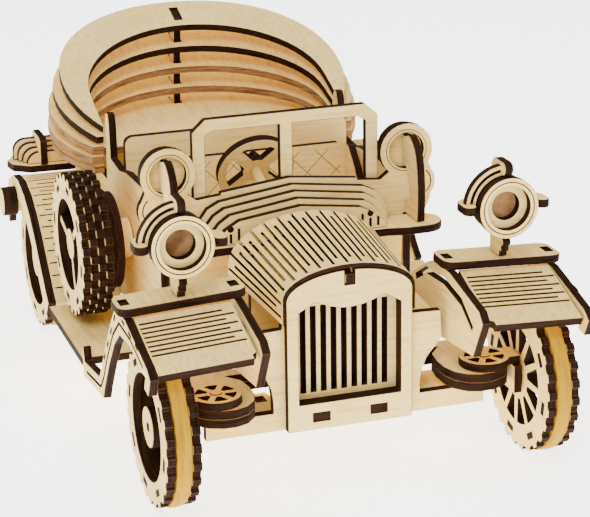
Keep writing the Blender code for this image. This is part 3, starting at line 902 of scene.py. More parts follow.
@dataclass
class Bonnet:
    """Bonnet: one sheet bent over the arch by rows of long cuts, on its former and spine."""

    shop: Workshop
    sheet: float = 1.4
    front_half: float = 22.0
    front_top: float = 69.8
    front_shoulder: float = 60.2
    shoulder_fall: float = 2.4
    foot_rise: float = 3.0
    chords: int = 40
    cut_width: float = 0.7
    cut_pitch: float = 2.2
    long_end: float = 1.6
    short_inset: float = 5.2
    notch: float = 2.6
    rim: float = 0.12

    def section(self, share: float) -> list[Vector]:
        """Outer outline of the sheet across the car.

        Args:
            share: Share of the way back.

        Returns:
            Places in the row frame, from the right foot over the top to the left foot.
        """
        low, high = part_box("bonnet_shell")
        rear_half = (high.x - low.x) / MM / 2
        half = self.front_half + share * (rear_half - self.front_half)
        top = self.front_top + share * (high.z / MM - self.front_top)
        shoulder = self.front_shoulder - share * self.shoulder_fall
        foot = low.z / MM + share * self.foot_rise
        y = low.y + share * (high.y - low.y)
        right = [(half, foot), (half, 0.5 * (foot + shoulder))]
        for step in range(self.chords + 1):
            turn = 0.5 * math.pi * step / self.chords
            right.append((half * math.cos(turn), shoulder + (top - shoulder) * math.sin(turn)))
        return [Vector((x * MM, y, z * MM)) for x, z in right + mirrored(right[:-1])]

    @staticmethod
    def along(section: Sequence[Vector], share: float) -> Vector:
        """Find a place along a section.

        Args:
            section: The section's points.
            share: Share of its length.

        Returns:
            The place, in the row frame.
        """
        lengths = [0.0]
        for before, after in zip(section, section[1:]):
            lengths.append(lengths[-1] + (after - before).length)
        target = share * lengths[-1]
        for index in range(len(section) - 1):
            if target <= lengths[index + 1] + 1e-9:
                run = (target - lengths[index]) / (lengths[index + 1] - lengths[index])
                return section[index].lerp(section[index + 1], min(max(run, 0.0), 1.0))
        return section[-1]

    def columns(self, girth: float) -> list[float]:
        """Divide the girth into strips with cuts between them.

        Args:
            girth: Length of the sheet across the car.

        Returns:
            Shares of the girth at which the strips and the cuts end, by turns.
        """
        count = 2 * round(girth / self.cut_pitch / 2)
        half_cut = 0.5 * self.cut_width / girth
        stops = [0.0]
        for index in range(1, count):
            stops += [index / count - half_cut, index / count + half_cut]
        return [*stops, 1.0]

    @staticmethod
    def is_open(column: int, row: int) -> bool:
        """Tell whether a cell is cut away: long cuts run out of the rear, short ones stay inside."""
        in_cut, long_cut = column % 2 == 1, (column // 2) % 2 == 0
        return in_cut and (row >= 1 if long_cut else 2 <= row <= 3)

    def sheet_mesh(self) -> bpy.types.Mesh:
        """Lay the bent sheet's outer surface strip by strip, with its cuts left open.

        Returns:
            The open mesh, with its three finishes.
        """
        front, rear = self.section(0.0), self.section(1.0)
        girth = sum((after - before).length for before, after in zip(front, front[1:])) / MM
        depth = (rear[0].y - front[0].y) / MM
        stops = self.columns(girth)
        rows = [0.0, self.long_end / depth, self.short_inset / depth, 0.5, 1.0 - self.short_inset / depth,
                1.0 - self.notch / depth, 1.0]
        work = bmesh.new()
        edges = [(self.along(front, stop), self.along(rear, stop)) for stop in stops]
        grid = [[work.verts.new(start.lerp(end, row)) for start, end in edges] for row in rows]
        for column in range(len(stops) - 1):
            for row in range(len(rows) - 1):
                if not self.is_open(column, row):
                    work.faces.new((grid[row][column], grid[row][column + 1], grid[row + 1][column + 1],
                                    grid[row + 1][column]))
        bmesh.ops.recalc_face_normals(work, faces=work.faces)
        mesh = bpy.data.meshes.new("bonnet_sheet")
        work.to_mesh(mesh)
        work.free()
        for made in (self.shop.face(UP), self.shop.edge(UP), self.shop.scorch):
            mesh.materials.append(made)
        return mesh

    def build(self) -> None:
        """Bend the sheet, thicken it inwards, and make the former and the spine."""
        piece = bpy.data.objects.new("bonnet_sheet", self.sheet_mesh())
        bpy.context.scene.collection.objects.link(piece)
        if piece.data.polygons[len(piece.data.polygons) // 2].normal.z < 0:
            piece.data.flip_normals()
        wall = piece.modifiers.new("sheet", "SOLIDIFY")
        wall.thickness = self.sheet * MM
        wall.offset = -1.0
        wall.material_offset_rim = Skin.EDGE.value
        self.shop.finish(piece, CAR_BODY, ["bonnet_shell"], width=self.rim)
        self.shop.keep("bonnet_spine", "bonnet_former")


@dataclass
class Cowl:
    """Cowl: stepped gable plates on a wing, the lamp plate behind them, and the windscreen."""

    shop: Workshop
    steps_y: float = 47.3
    slots: tuple[tuple[Point, float], ...] = (((21.6, 67.2), 4.2), ((24.4, 66.0), 3.2), ((27.2, 66.4), 3.4))
    slot_width: float = 0.9
    eyelet: Point = (24.4, 69.2)
    eyelet_radius: float = 1.1
    plate_y: float = 59.3
    lamp: Point = (41.9, 86.0)
    lamp_groove: float = 7.2
    lamp_groove_width: float = 0.22
    lobe: Point = (45.8, 74.4)
    lobe_groove: float = 5.0
    lobe_groove_width: float = 0.4
    lobe_groove_turn: float = 50.0
    disc_y: float = 63.65
    disc_radius: float = 8.8
    fin_x: float = 42.75
    fin: tuple[Point, ...] = (
        (47.7, 64.0), (58.7, 64.0), (58.7, 68.0), (56.0, 70.2), (55.6, 74.0), (57.4, 77.6), (58.2, 80.4),
        (61.9, 80.4), (61.9, 91.0), (58.2, 91.4), (56.4, 92.2), (54.4, 91.8), (52.4, 90.6), (50.6, 88.8),
        (49.3, 86.6), (48.3, 83.6), (47.7, 80.5), (47.2, 76.4), (47.1, 72.0), (47.3, 68.0))

    def build(self) -> None:
        """Make the cowl, its two lamps and the windscreen."""
        shop = self.shop
        steps = shop.recut("cowl_step_stack")
        keyholes = []
        for sign in (-1, 1):
            keyholes += [[bar((sign * x, z), self.slot_width, height)] for (x, z), height in self.slots]
            keyholes.append([circle(self.eyelet_radius, 16, (sign * self.eyelet[0], self.eyelet[1]))])
        shop.cut(steps, plane("Y", y=self.steps_y), keyholes, shop.engraving_depth)
        shop.finish(steps, CAR_BODY, ["cowl_step_stack"])
        shop.keep("cowl_wing_plate")
        self.lamp_plate()
        shop.keep("windscreen_frame")
        for side in Side:
            self.lamp_back(side)

    def lamp_plate(self) -> None:
        """Make the plate that carries the two lamp rings, with a groove round each ring and in each lobe."""
        shop = self.shop
        back = shop.recut("cowl_lamp_plate")
        grooves = []
        for sign in (-1, 1):
            centre = (sign * self.lamp[0], self.lamp[1])
            grooves.append(ring(self.lamp_groove, self.lamp_groove_width, centre))
            curve = curved_bar(self.lobe, self.lobe_groove, self.lobe_groove_width, -self.lobe_groove_turn,
                               self.lobe_groove_turn)
            grooves.append([curve if sign > 0 else mirrored(curve)])
        shop.cut(back, plane("Y", y=self.plate_y), grooves, shop.engraving_depth)
        shop.finish(back, CAR_BODY, ["cowl_lamp_plate"])

    def lamp_back(self, side: Side) -> None:
        """Make one lamp's closed disc and the upright fin that crosses it.

        Args:
            side: Hand of the car.
        """
        shop, sign = self.shop, side.value
        outline = circle(self.disc_radius, 40, (sign * self.lamp[0], self.lamp[1]))
        disc = shop.plate(f"cowl_lamp_disc_{side.word}", plane("Y", y=self.disc_y), outline)
        shop.finish(disc, CAR_BODY, [f"cowl_lamp_{side.word}"])
        fin = shop.plate(f"cowl_lamp_fin_{side.word}", plane("X", x=sign * self.fin_x), self.fin)
        shop.finish(fin, CAR_BODY)


@dataclass
class Headlamp:
    """One headlamp: three glued rings held by an upright, two lugs and a slotted quarter collar."""

    shop: Workshop
    side: Side
    across: float = 53.5
    z: float = 82.0
    front: float = -0.7
    ply: float = 3.0
    radius: float = 10.0
    step: float = 0.5
    bore: float = 7.3
    inner_bore: float = 4.7
    groove: float = 8.6
    groove_width: float = 0.26
    groove_depth: float = 0.3
    clearance: float = 0.3
    upright_width: float = 2.8
    hook_round: float = 2.2
    hook_front: float = 1.9
    hook_shoulder: float = 4.0
    hook_chords: int = 10
    lug_reach: Point = (1.6, 0.4)
    lip_round: float = 1.5
    foot_front: float = 2.2
    foot_notch: Point = (3.6, 1.9)
    shelf_top: float = 64.8
    collar_y: float = 4.6
    collar_gap: float = 1.6
    collar_width: float = 3.4
    collar_turns: Point = (82.0, 188.0)
    slot_width: float = 0.8
    slot_inset: float = 0.1
    slot_depth: float = 2.0
    slot_turns: Point = (98.0, 172.0)

    @property
    def x(self) -> float:
        """Car place of the lamp's middle."""
        return self.side.value * self.across

    @property
    def back(self) -> float:
        """Car y of the upright, just behind the barrel."""
        return self.front + 3 * self.ply + self.clearance

    @property
    def grip(self) -> float:
        """Distance from the lamp's middle at which the clamps begin."""
        return self.radius + self.clearance

    def build(self) -> None:
        """Make the barrel's rings, the upright, the lugs and the collar."""
        self.barrel()
        self.upright()
        for hand in (-1, 1):
            self.lug(hand)
        self.collar()

    def barrel(self) -> None:
        """Make the three glued rings; the last one is closed, and its face is darker as painted shade deep in
        the bore.
        """
        shop, word = self.shop, self.side.word
        rings = ((self.radius, self.bore), (self.radius - self.step, self.inner_bore),
                 (self.radius - self.step, 0.0))
        for index, (outer, inner) in enumerate(rings):
            place = plane("Y", x=self.x, y=self.front + (index + 0.5) * self.ply, z=self.z)
            holes = [circle(inner, 40)] if inner else []
            piece = shop.plate(f"headlamp_ring_{index + 1}_{word}", place, circle(outer, 56), holes,
                               self.ply - GLUE_LINE)
            if index == 0:
                face = plane("Y", x=self.x, y=self.front, z=self.z)
                shop.cut(piece, face, [ring(self.groove, self.groove_width)], self.groove_depth)
            # Painted shade: the closed ring's face takes the darker toasted finish in place of the shadow at the
            # bottom of the bore.
            if not inner:
                piece.data.materials[Skin.FACE.value] = shop.toasted(Vector((0, 1, 0)))
            shop.finish(piece, CAR_BODY, [f"headlamp_barrel_{word}"] if index == 0 else [], width=SLIM_RIM)

    def hook(self, back: float) -> list[Point]:
        """Outline of one clamp arm, drawn as (outwards, backwards), with a rounded front and back.

        Args:
            back: How far back the arm reaches.

        Returns:
            The outline's points.
        """
        middle = self.grip + self.hook_round
        outer, bend = middle + self.hook_round, self.hook_shoulder
        return [(self.grip, back),
                *arc((middle, self.hook_front), self.hook_round, 180.0, 360.0, self.hook_chords),
                *arc((outer - bend, back - bend), bend, 0.0, 90.0, 4)]

    def upright(self) -> None:
        """Make the upright from the shelf to its hook over the barrel, with a lip under the barrel."""
        rear = self.back + self.upright_width
        over = [(y, self.z + out) for out, y in self.hook(rear)]
        split = self.hook_chords + 1
        low = self.z - self.grip
        lip = arc((self.foot_front, low - self.lip_round), self.lip_round, 60.0, 270.0, 8)
        notch_y, notch_z = self.foot_notch[0], self.shelf_top + self.foot_notch[1]
        outline = [(self.back, low), *lip, (self.foot_front, notch_z), (notch_y, notch_z),
                   (notch_y, self.shelf_top), (rear, self.shelf_top), *reversed(over[split:]),
                   *reversed(over[1:split]), (self.back, self.z + self.grip)]
        piece = self.shop.plate(f"headlamp_upright_{self.side.word}", plane("X", x=self.x), outline)
        self.shop.finish(piece, CAR_BODY, [f"headlamp_clamp_{self.side.word}"])

    def lug(self, hand: int) -> None:
        """Make one level lug.

        Args:
            hand: Sign of X on the lamp's side where it stands.
        """
        reach = self.lug_reach[0] if hand < 0 else self.lug_reach[1]
        drawn = [(self.x + hand * out, y) for out, y in self.hook(self.back + reach)]
        name = f"headlamp_lug_{'east' if hand > 0 else 'west'}_{self.side.word}"
        piece = self.shop.plate(name, plane("Z", z=self.z), drawn if hand > 0 else list(reversed(drawn)))
        self.shop.finish(piece, CAR_BODY)

    def collar(self) -> None:
        """Make the slotted quarter collar between the upper hook and one lug."""
        shop, radius = self.shop, self.radius + self.collar_gap
        place = plane("Y", x=self.x, y=self.collar_y, z=self.z)
        bent = curved_bar(ORIGIN, radius, self.collar_width, *self.collar_turns, 24)
        piece = shop.plate(f"headlamp_collar_{self.side.word}", place, bent)
        slot = curved_bar(ORIGIN, radius - self.slot_inset, self.slot_width, *self.slot_turns, 14)
        shop.cut(piece, place, [[slot]], self.slot_depth)
        shop.finish(piece, CAR_BODY, width=SLIM_RIM)


@dataclass(frozen=True)
class TabRow:
    """A straight row of tab ends: its first middle, the step to the next, the turn of each and how many."""

    start: Point
    step: Point
    turn: float
    count: int

    def ends(self, size: Point) -> list[list[Point]]:
        """Draw the row.

        Args:
            size: Length and width of one tab's end.

        Returns:
            Outline of each tab's end.
        """
        middles = [(self.start[0] + self.step[0] * index, self.start[1] + self.step[1] * index)
                   for index in range(self.count)]
        return [bar(middle, *size, self.turn) for middle in middles]


@dataclass
class FrontFender:
    """One front fender: engraved deck between two cheeks, under the lamp's shelf."""

    shop: Workshop
    side: Side
    deck_front: Point = (-24.6, 52.3)
    deck_back: Point = (3.2, 61.3)
    droop: float = 3.0
    line_count: int = 8
    line_start: float = 9.4
    line_pitch: float = 2.2
    line_width: float = 0.6
    line_ends: Point = (1.2, 4.4)
    corner_reach: float = 1.0
    corner_inset: float = 1.6
    corner_rise: Point = (1.8, 3.4)
    corner_depth: float = 4.0
    shelf_top: float = 63.4
    shelf_tab: Point = (2.4, 3.4)
    shelf_tab_y: float = 8.1
    cheek_middles: Point = (35.55, 70.65)
    cheek_face: float = 72.0
    groove_width: float = 0.8
    groove: tuple[Point, ...] = ((-19.0, 52.6), (-4.0, 56.0), (9.6, 56.4), (18.4, 49.6), (27.6, 38.6),
                                 (34.6, 28.6), (39.4, 23.6), (60.0, 20.8))
    tab_sink: float = 0.1
    cheek_tab: Point = (3.4, 1.2)
    tab_rows: tuple[TabRow, ...] = (TabRow((-12.0, 56.4), (8.0, 1.1), 9.0, 3),
                                    TabRow((15.4, 56.0), (5.4, -6.3), -50.0, 4))

    def build(self) -> None:
        """Make the deck, cheeks, shelf and running board of this side."""
        shop, word, sign = self.shop, self.side.word, self.side.value
        low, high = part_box(f"front_fender_deck_{word}")
        middle, half = (low.x + high.x) / 2 / MM, (high.x - low.x) / 2 / MM
        lean = Matrix.Rotation(math.radians(sign * self.droop), 4, "Y")
        self.deck(middle, half, lean)
        self.outer_cheek()
        shop.keep(f"front_fender_inner_cheek_{word}", f"lamp_shelf_{word}")
        top = Matrix.Translation(car_point(middle, 0.0, self.shelf_top)) @ lean
        ends = [bar((sign * x - middle, self.shelf_tab_y), *self.shelf_tab) for x in self.cheek_middles]
        shop.tab_ends(f"shelf_tab_ends_{word}", top, ends, CAR_BODY, thickness=1.0)
        shop.keep(f"running_board_{word}")

    def deck(self, middle: float, half: float, lean: Matrix) -> None:
        """Make the sloping deck, its engraved lines and the notch in its inner front corner.

        Args:
            middle: Car x of the deck's middle.
            half: Half of its width.
            lean: Turn that lets its outer end hang lower.
        """
        shop, sign = self.shop, self.side.value
        node = f"front_fender_deck_{self.side.word}"
        piece = shop.recut(node)
        run = Vector(self.deck_back) - Vector(self.deck_front)
        place = (Matrix.Translation(car_point(middle, *self.deck_front)) @ lean
                 @ Matrix.Rotation(math.atan2(run.y, run.x), 4, "X"))
        lines = []
        for index in range(self.line_count):
            back = self.line_start + index * self.line_pitch
            lines.append([line((self.line_ends[0] - half, back), (half - self.line_ends[index % 2], back),
                               self.line_width)])
        shop.cut(piece, place, lines, shop.engraving_depth)
        outer, inner = half + self.corner_reach, half - self.corner_inset
        corner = [(outer, -self.corner_reach), (inner, -self.corner_reach), (inner, self.corner_rise[0]),
                  (outer, self.corner_rise[1])]
        shop.cut(piece, place, [[corner if sign < 0 else mirrored(corner)]], self.corner_depth)
        shop.finish(piece, CAR_BODY, [node])

    def outer_cheek(self) -> None:
        """Make the outer cheek with its long groove and the ends of the deck's tabs."""
        shop, word, sign = self.shop, self.side.word, self.side.value
        node = f"front_fender_outer_cheek_{word}"
        cheek = shop.recut(node)
        groove = [[path_bar(self.groove, self.groove_width)]]
        shop.cut(cheek, plane("X", x=sign * self.cheek_face), groove, self.groove_width)
        shop.finish(cheek, CAR_BODY, [node])
        ends = [end for row in self.tab_rows for end in row.ends(self.cheek_tab)]
        face = plane("X", x=sign * (self.cheek_face - self.tab_sink))
        shop.tab_ends(f"outer_cheek_tab_ends_{word}", face, ends, CAR_BODY)


@dataclass
class RearFender:
    """One rear fender: bent deck with engraved ribs, and its cheek with the tail lamp."""

    shop: Workshop
    side: Side
    rib_count: int = 34
    rib_start: float = 5.0
    rib_width: float = 0.55
    rib_height: float = 2.0
    rib_shares: Point = (0.94, 0.72)
    sweep: tuple[Point, ...] = ((119.8, 24.2), (124.0, 27.6), (132.0, 35.6), (139.6, 43.4), (147.0, 49.6),
                                (155.0, 54.4), (164.8, 57.2), (174.4, 56.8), (183.4, 52.8), (190.4, 46.0),
                                (194.6, 37.6))

    def build(self) -> None:
        """Make the ribbed deck and the cheek."""
        shop, node = self.shop, f"rear_fender_deck_{self.side.word}"
        piece = shop.clad(f"{node}_ply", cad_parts[node].data.copy(), Vector((1, 0, 0)))
        for flat in piece.data.polygons:
            skin = Skin.EDGE if abs(flat.normal.x) > 0.9 else Skin.FACE
            flat.material_index = skin.value
        shop.carve(piece, self.ribs(*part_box(node)), Matrix.Identity(4))
        shop.finish(piece, CAR_BODY, [node])
        shop.keep(f"rear_fender_cheek_{self.side.word}")

    def ribs(self, low: Vector, high: Vector) -> bmesh.types.BMesh:
        """Lay slim blocks across the deck, evenly along its sweep and by turns wide and narrow.

        Args:
            low: Least corner of the deck's box.
            high: Greatest corner of the deck's box.

        Returns:
            The blocks, for the caller to free.
        """
        work = bmesh.new()
        legs = zip(self.sweep, self.sweep[1:])
        lengths = [(Vector(after) - Vector(before)).length for before, after in legs]
        pitch = (sum(lengths) - 2 * self.rib_start) / self.rib_count
        for index in range(self.rib_count):
            target, leg = self.rib_start + (index + 0.5) * pitch, 0
            while target > lengths[leg]:
                target -= lengths[leg]
                leg += 1
            start, end = Vector(self.sweep[leg]), Vector(self.sweep[leg + 1])
            spot, run = start.lerp(end, target / lengths[leg]), end - start
            place = (Matrix.Translation(car_point((low.x + high.x) / 2 / MM, spot.x, spot.y))
                     @ Matrix.Rotation(math.atan2(run.y, run.x), 4, "X"))
            wide = (high.x - low.x) * self.rib_shares[index % 2]
            size = Matrix.Diagonal((wide, self.rib_width * MM, self.rib_height * MM, 1.0))
            bmesh.ops.create_cube(work, size=1.0, matrix=place @ size)
        return work


@dataclass
class BodyTub:
    """Body sides, floor, keel, dividers and the quilted front seat."""

    shop: Workshop
    keel: tuple[Point, ...] = ((15.2, 17.0), (176.0, 17.0), (186.0, 24.0), (186.0, 30.7), (30.0, 30.7),
                               (28.0, 24.7), (15.2, 24.7))
    keel_bore: float = 2.4
    chassis_z: float = 20.35
    chassis_flank: tuple[Point, ...] = ((20.3, 9.0), (20.3, 6.0), (44.0, 6.0), (44.0, 12.0), (38.0, 20.0),
                                        (22.0, 21.0), (20.6, 14.9))
    chassis_slot: Point = (3.4, 4.8)
    chassis_slot_centre: Point = (25.4, 15.8)
    seat_low: float = 34.0
    seat_half: float = 36.9
    seat_face: float = 106.0
    seat_shoulder: float = 72.0
    seat_crown: Point = (33.6, 77.0)
    seat_base_z: float = 53.4
    seat_base: tuple[Point, Point] = ((-36.4, 90.6), (36.4, 105.7))
    cheek_x: float = 38.0
    cheek: tuple[Point, ...] = ((90.0, 34.0), (105.7, 34.0), (105.7, 76.4), (103.4, 76.4), (96.4, 70.0),
                                (90.0, 58.0))
    quilt_count: int = 6
    quilt_pitch: float = 11.0
    quilt_rise: Point = (45.0, 75.0)
    quilt_margin: float = 2.4
    quilt_line: float = 0.22
    quilt_depth: float = 0.15

    def build(self) -> None:
        """Make the tub's plates, the chassis and the seat."""
        shop = self.shop
        shop.keep("body_side_left", "body_side_right", "floor_plate", "seat_divider", "rear_panel")
        bore = circle(self.keel_bore, 20, (REAR_AXLE_Y, AXLE_HEIGHT))
        keel = shop.plate("keel_plate", plane("X"), self.keel, [bore])
        shop.finish(keel, CAR_BODY, ["chassis_keel"])
        x, y = self.chassis_slot_centre
        slots = [bar((sign * x, y), *self.chassis_slot) for sign in (-1, 1)]
        outline = both_halves(self.chassis_flank)
        chassis = shop.plate("front_chassis_ply", plane("Z", z=self.chassis_z), outline, slots)
        shop.finish(chassis, CAR_BODY)
        self.seat_back()
        self.seat_frame()

    def seat_back(self) -> None:
        """Make the seat's back and engrave its crossed quilting."""
        shop, half = self.shop, self.seat_half
        outline = both_halves([(half, self.seat_low), (half, self.seat_shoulder), self.seat_crown])
        piece = shop.plate("seat_back_plate", plane("Y", y=self.seat_face + SHEET / 2), outline)
        foot, head = self.quilt_rise
        face, limit = plane("Y", y=self.seat_face), half - self.quilt_margin
        for index in range(-self.quilt_count, self.quilt_count + 1):
            x = index * self.quilt_pitch
            for lean in (-1, 1):
                ends = self.clip(Vector((x, foot)), Vector((x + lean * (head - foot), head)), limit)
                if ends:
                    shop.cut(piece, face, [[line(*ends, self.quilt_line)]], self.quilt_depth)
        shop.finish(piece, CAR_BODY, ["front_seat"])

    def seat_frame(self) -> None:
        """Make the seat's two cheeks and its base."""
        shop = self.shop
        for side in Side:
            plate = shop.plate(f"seat_cheek_{side.word}", plane("X", x=side.value * self.cheek_x), self.cheek)
            shop.finish(plate, CAR_BODY)
        base = shop.plate("seat_base_plate", plane("Z", z=self.seat_base_z), box(*self.seat_base))
        shop.finish(base, CAR_BODY)

    @staticmethod
    def clip(start: Vector, end: Vector, limit: float) -> tuple[Point, Point] | None:
        """Shorten a line to the part that lies near the middle.

        Args:
            start: One end.
            end: The other end.
            limit: Greatest distance from the middle.

        Returns:
            The new ends, or None where too little is left.
        """
        run = end - start
        shares = sorted(((-limit - start.x) / run.x, (limit - start.x) / run.x))
        first, last = max(0.0, shares[0]), min(1.0, shares[1])
        if last - first < 0.1:
            return None
        return tuple(start + run * first), tuple(start + run * last)


@dataclass
class FoldedTop:
    """Folded top: five horseshoes fanned about the posts, and the rib through them."""

    shop: Workshop
    count: int = 5
    first_toasted: int = 3

    def build(self) -> None:
        """Make the horseshoes, the lower ones less burnt, and the rib."""
        shop = self.shop
        for number in range(1, self.count + 1):
            node = f"folded_top_{number}"
            piece = shop.recut(node)
            if number >= self.first_toasted:
                piece.data.materials[Skin.EDGE.value] = shop.toasted(UP)
            shop.finish(piece, CAR_BODY, [node])
        shop.keep("folded_top_spine")


@dataclass
class Luggage:
    """Luggage case of stepped plies on its base, with two straps."""

    shop: Workshop
    plies: int = 4
    ply: float = 2.5
    step: float = 1.3
    half: float = 66.4
    top: float = 62.6
    corner: float = 4.8
    front: float = 194.0
    strap_x: float = 56.4
    strap_front: float = 191.0
    strap_back: float = 206.6
    strap_top: float = 65.0
    strap_corner: Point = (2.0, 1.2)

    def build(self) -> None:
        """Make the case's plies, the straps and the base."""
        shop = self.shop
        shop.keep("luggage_base")
        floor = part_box("luggage_case")[0].z / MM
        for index in range(self.plies):
            inset = self.step * (self.plies - 1 - index)
            wide, top = self.half - inset, self.top - inset
            flank = [(wide, floor), *arc((wide - self.corner, top - self.corner), self.corner, 0.0, 90.0, 6)]
            place = plane("Y", y=self.front + (index + 0.5) * self.ply)
            piece = shop.plate(f"luggage_ply_{index + 1}", place, both_halves(flank),
                               thickness=self.ply - GLUE_LINE)
            shop.finish(piece, CAR_BODY, ["luggage_case"] if index == 0 else [])
        in_y, in_z = self.strap_corner
        front, back, top = self.strap_front, self.strap_back, self.strap_top
        strap = [(front, floor), (back, floor), (back, top - in_z), (back - in_y, top), (front + in_y, top),
                 (front, top - in_z)]
        for side in Side:
            piece = shop.plate(f"luggage_strap_{side.word}", plane("X", x=side.value * self.strap_x), strap)
            shop.finish(piece, CAR_BODY)


@dataclass
class RoadWheel:
    """One road wheel: toothed ring, core, spoked plate, hub and the rubber band."""

    shop: Workshop
    row: Row
    side: Side
    teeth: int = 26
    radius: float = 25.1
    root: float = 23.9
    rim_hole: float = 17.0
    spokes: int = 12
    spoke_half_turns: Point = (3.6, 9.0)
    spoke_radii: Point = (8.2, 16.6)
    pin_bore: float = 2.5
    core_radius: float = 21.4
    core_hole: float = 18.4
    hub_radius: float = 6.6
    hub_depth: float = 4.2
    hub_length: float = 7.4
    hub_hole: float = 2.6
    boss_radii: Point = (2.45, 4.6)
    boss_sheet: float = 0.5
    pegs: int = 8
    peg: Point = (2.3, 4.8)
    peg_turn: float = 12.0
    peg_depth: float = 0.18
    band_half: float = 2.3
    band_radii: tuple[float, ...] = (21.9, 25.0, 25.45, 25.58)
    band_steps: int = 72
    band_crease: float = 50.0

    @property
    def tag(self) -> str:
        """Row and hand, as the names of pieces have them."""
        return f"{self.row.value}_{self.side.word}"

    @property
    def body(self) -> str:
        """Body that the wheel's pieces ride on."""
        return f"{self.tag}_wheel"

    def place(self, depth: float) -> Matrix:
        """Plane of a sheet of the wheel.

        Args:
            depth: How far the sheet's middle lies in from the outer face.

        Returns:
            The placing matrix.
        """
        low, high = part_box(f"wheel_{self.tag}")
        face = (high.x if self.side is Side.RIGHT else -low.x) / MM
        return plane("X", x=self.side.value * (face - depth), y=(low.y + high.y) / 2 / MM + CAR_MIDDLE,
                     z=(low.z + high.z) / 2 / MM)

    def ply(self, part: str, depth: float, outline: Sequence[Point], holes: Iterable[Sequence[Point]],
            thickness: float = SHEET, nodes: Sequence[str] = ()) -> None:
        """Make one of the wheel's plies.

        Args:
            part: Its word in the piece's name.
            depth: How far its middle lies in from the outer face.
            outline: Outer outline.
            holes: Outlines of the holes.
            thickness: Thickness of the ply.
            nodes: CAD nodes that it stands for.
        """
        piece = self.shop.plate(f"wheel_{part}_{self.tag}", self.place(depth), outline, holes, thickness)
        self.shop.finish(piece, self.body, nodes)

    def build(self) -> None:
        """Make the wheel's plies, hub and band."""
        self.ply("ring", SHEET / 2, toothed(self.radius, self.root, self.teeth), [circle(self.rim_hole, 56)],
                 nodes=[f"wheel_{self.tag}"])
        self.ply("core", 2 * SHEET, circle(self.core_radius, 56), [circle(self.core_hole, 48)],
                 2 * SHEET - GLUE_LINE)
        self.ply("spokes", 3.5 * SHEET, toothed(self.radius, self.root, self.teeth, 0.5),
                 [circle(self.pin_bore, 20), *self.openings()])
        self.ply("hub", self.hub_depth, circle(self.hub_radius, 40),
                 [bar(ORIGIN, self.hub_hole, self.hub_hole)], self.hub_length)
        self.ply("boss", 4 * SHEET + self.boss_sheet / 2, circle(self.boss_radii[1], 28),
                 [circle(self.boss_radii[0], 20)], self.boss_sheet)
        self.peg_ends()
        self.band()

    def openings(self) -> list[list[Point]]:
        """Draw the gaps between the spokes.

        Returns:
            Outline of each gap.
        """
        gaps, pitch = [], 360.0 / self.spokes
        inner, outer = self.spoke_radii
        wide, narrow = (pitch / 2 - trim for trim in self.spoke_half_turns)
        for spoke in range(self.spokes):
            middle = pitch * (spoke + 0.5)
            gaps.append(arc(ORIGIN, outer, middle - wide, middle + wide, 4)
                        + arc(ORIGIN, inner, middle + narrow, middle - narrow, 1))
        return gaps

    def peg_ends(self) -> None:
        """Show the burnt ends of the pegs through both toothed plates."""
        turns = [360.0 / self.pegs * index + self.peg_turn for index in range(self.pegs)]
        ends = [bar(polar(PEG_CIRCLE, turn), *self.peg, turn) for turn in turns]
        for word, depth in (("outer", self.peg_depth), ("inner", 4 * SHEET - self.peg_depth)):
            self.shop.tab_ends(f"wheel_tab_ends_{word}_{self.tag}", self.place(depth), ends, self.body)

    def band(self) -> None:
        """Make the stretched rubber band, crowned a little across its width."""
        inner, edge, shoulder, crown = self.band_radii
        half, steps = self.band_half, self.band_steps
        profile = [(inner, -half), (edge, -half), (shoulder, -half * 0.75), (crown, 0.0),
                   (shoulder, half * 0.75), (edge, half), (inner, half)]
        middle = self.place(2 * SHEET)
        work = bmesh.new()
        rings = []
        for radius, across in profile:
            spots = [polar(radius, 360.0 * step / steps) for step in range(steps)]
            rings.append([work.verts.new(middle @ (Vector((y, z, across)) * MM)) for y, z in spots])
        for first, second in zip(rings, rings[1:] + rings[:1]):
            for step in range(steps):
                after = (step + 1) % steps
                work.faces.new((first[step], first[after], second[after], second[step]))
        bmesh.ops.recalc_face_normals(work, faces=work.faces)
        mesh = bpy.data.meshes.new(f"rubber_band_{self.tag}")
        work.to_mesh(mesh)
        work.free()
        mesh.materials.append(self.shop.rubber)
        mesh.shade_smooth()
        mesh.set_sharp_from_angle(angle=math.radians(self.band_crease))
        piece = bpy.data.objects.new(mesh.name, mesh)
        bpy.context.scene.collection.objects.link(piece)
        self.shop.hang(piece, self.body, [f"tyre_band_{self.tag}"], RUBBER_SLOT)


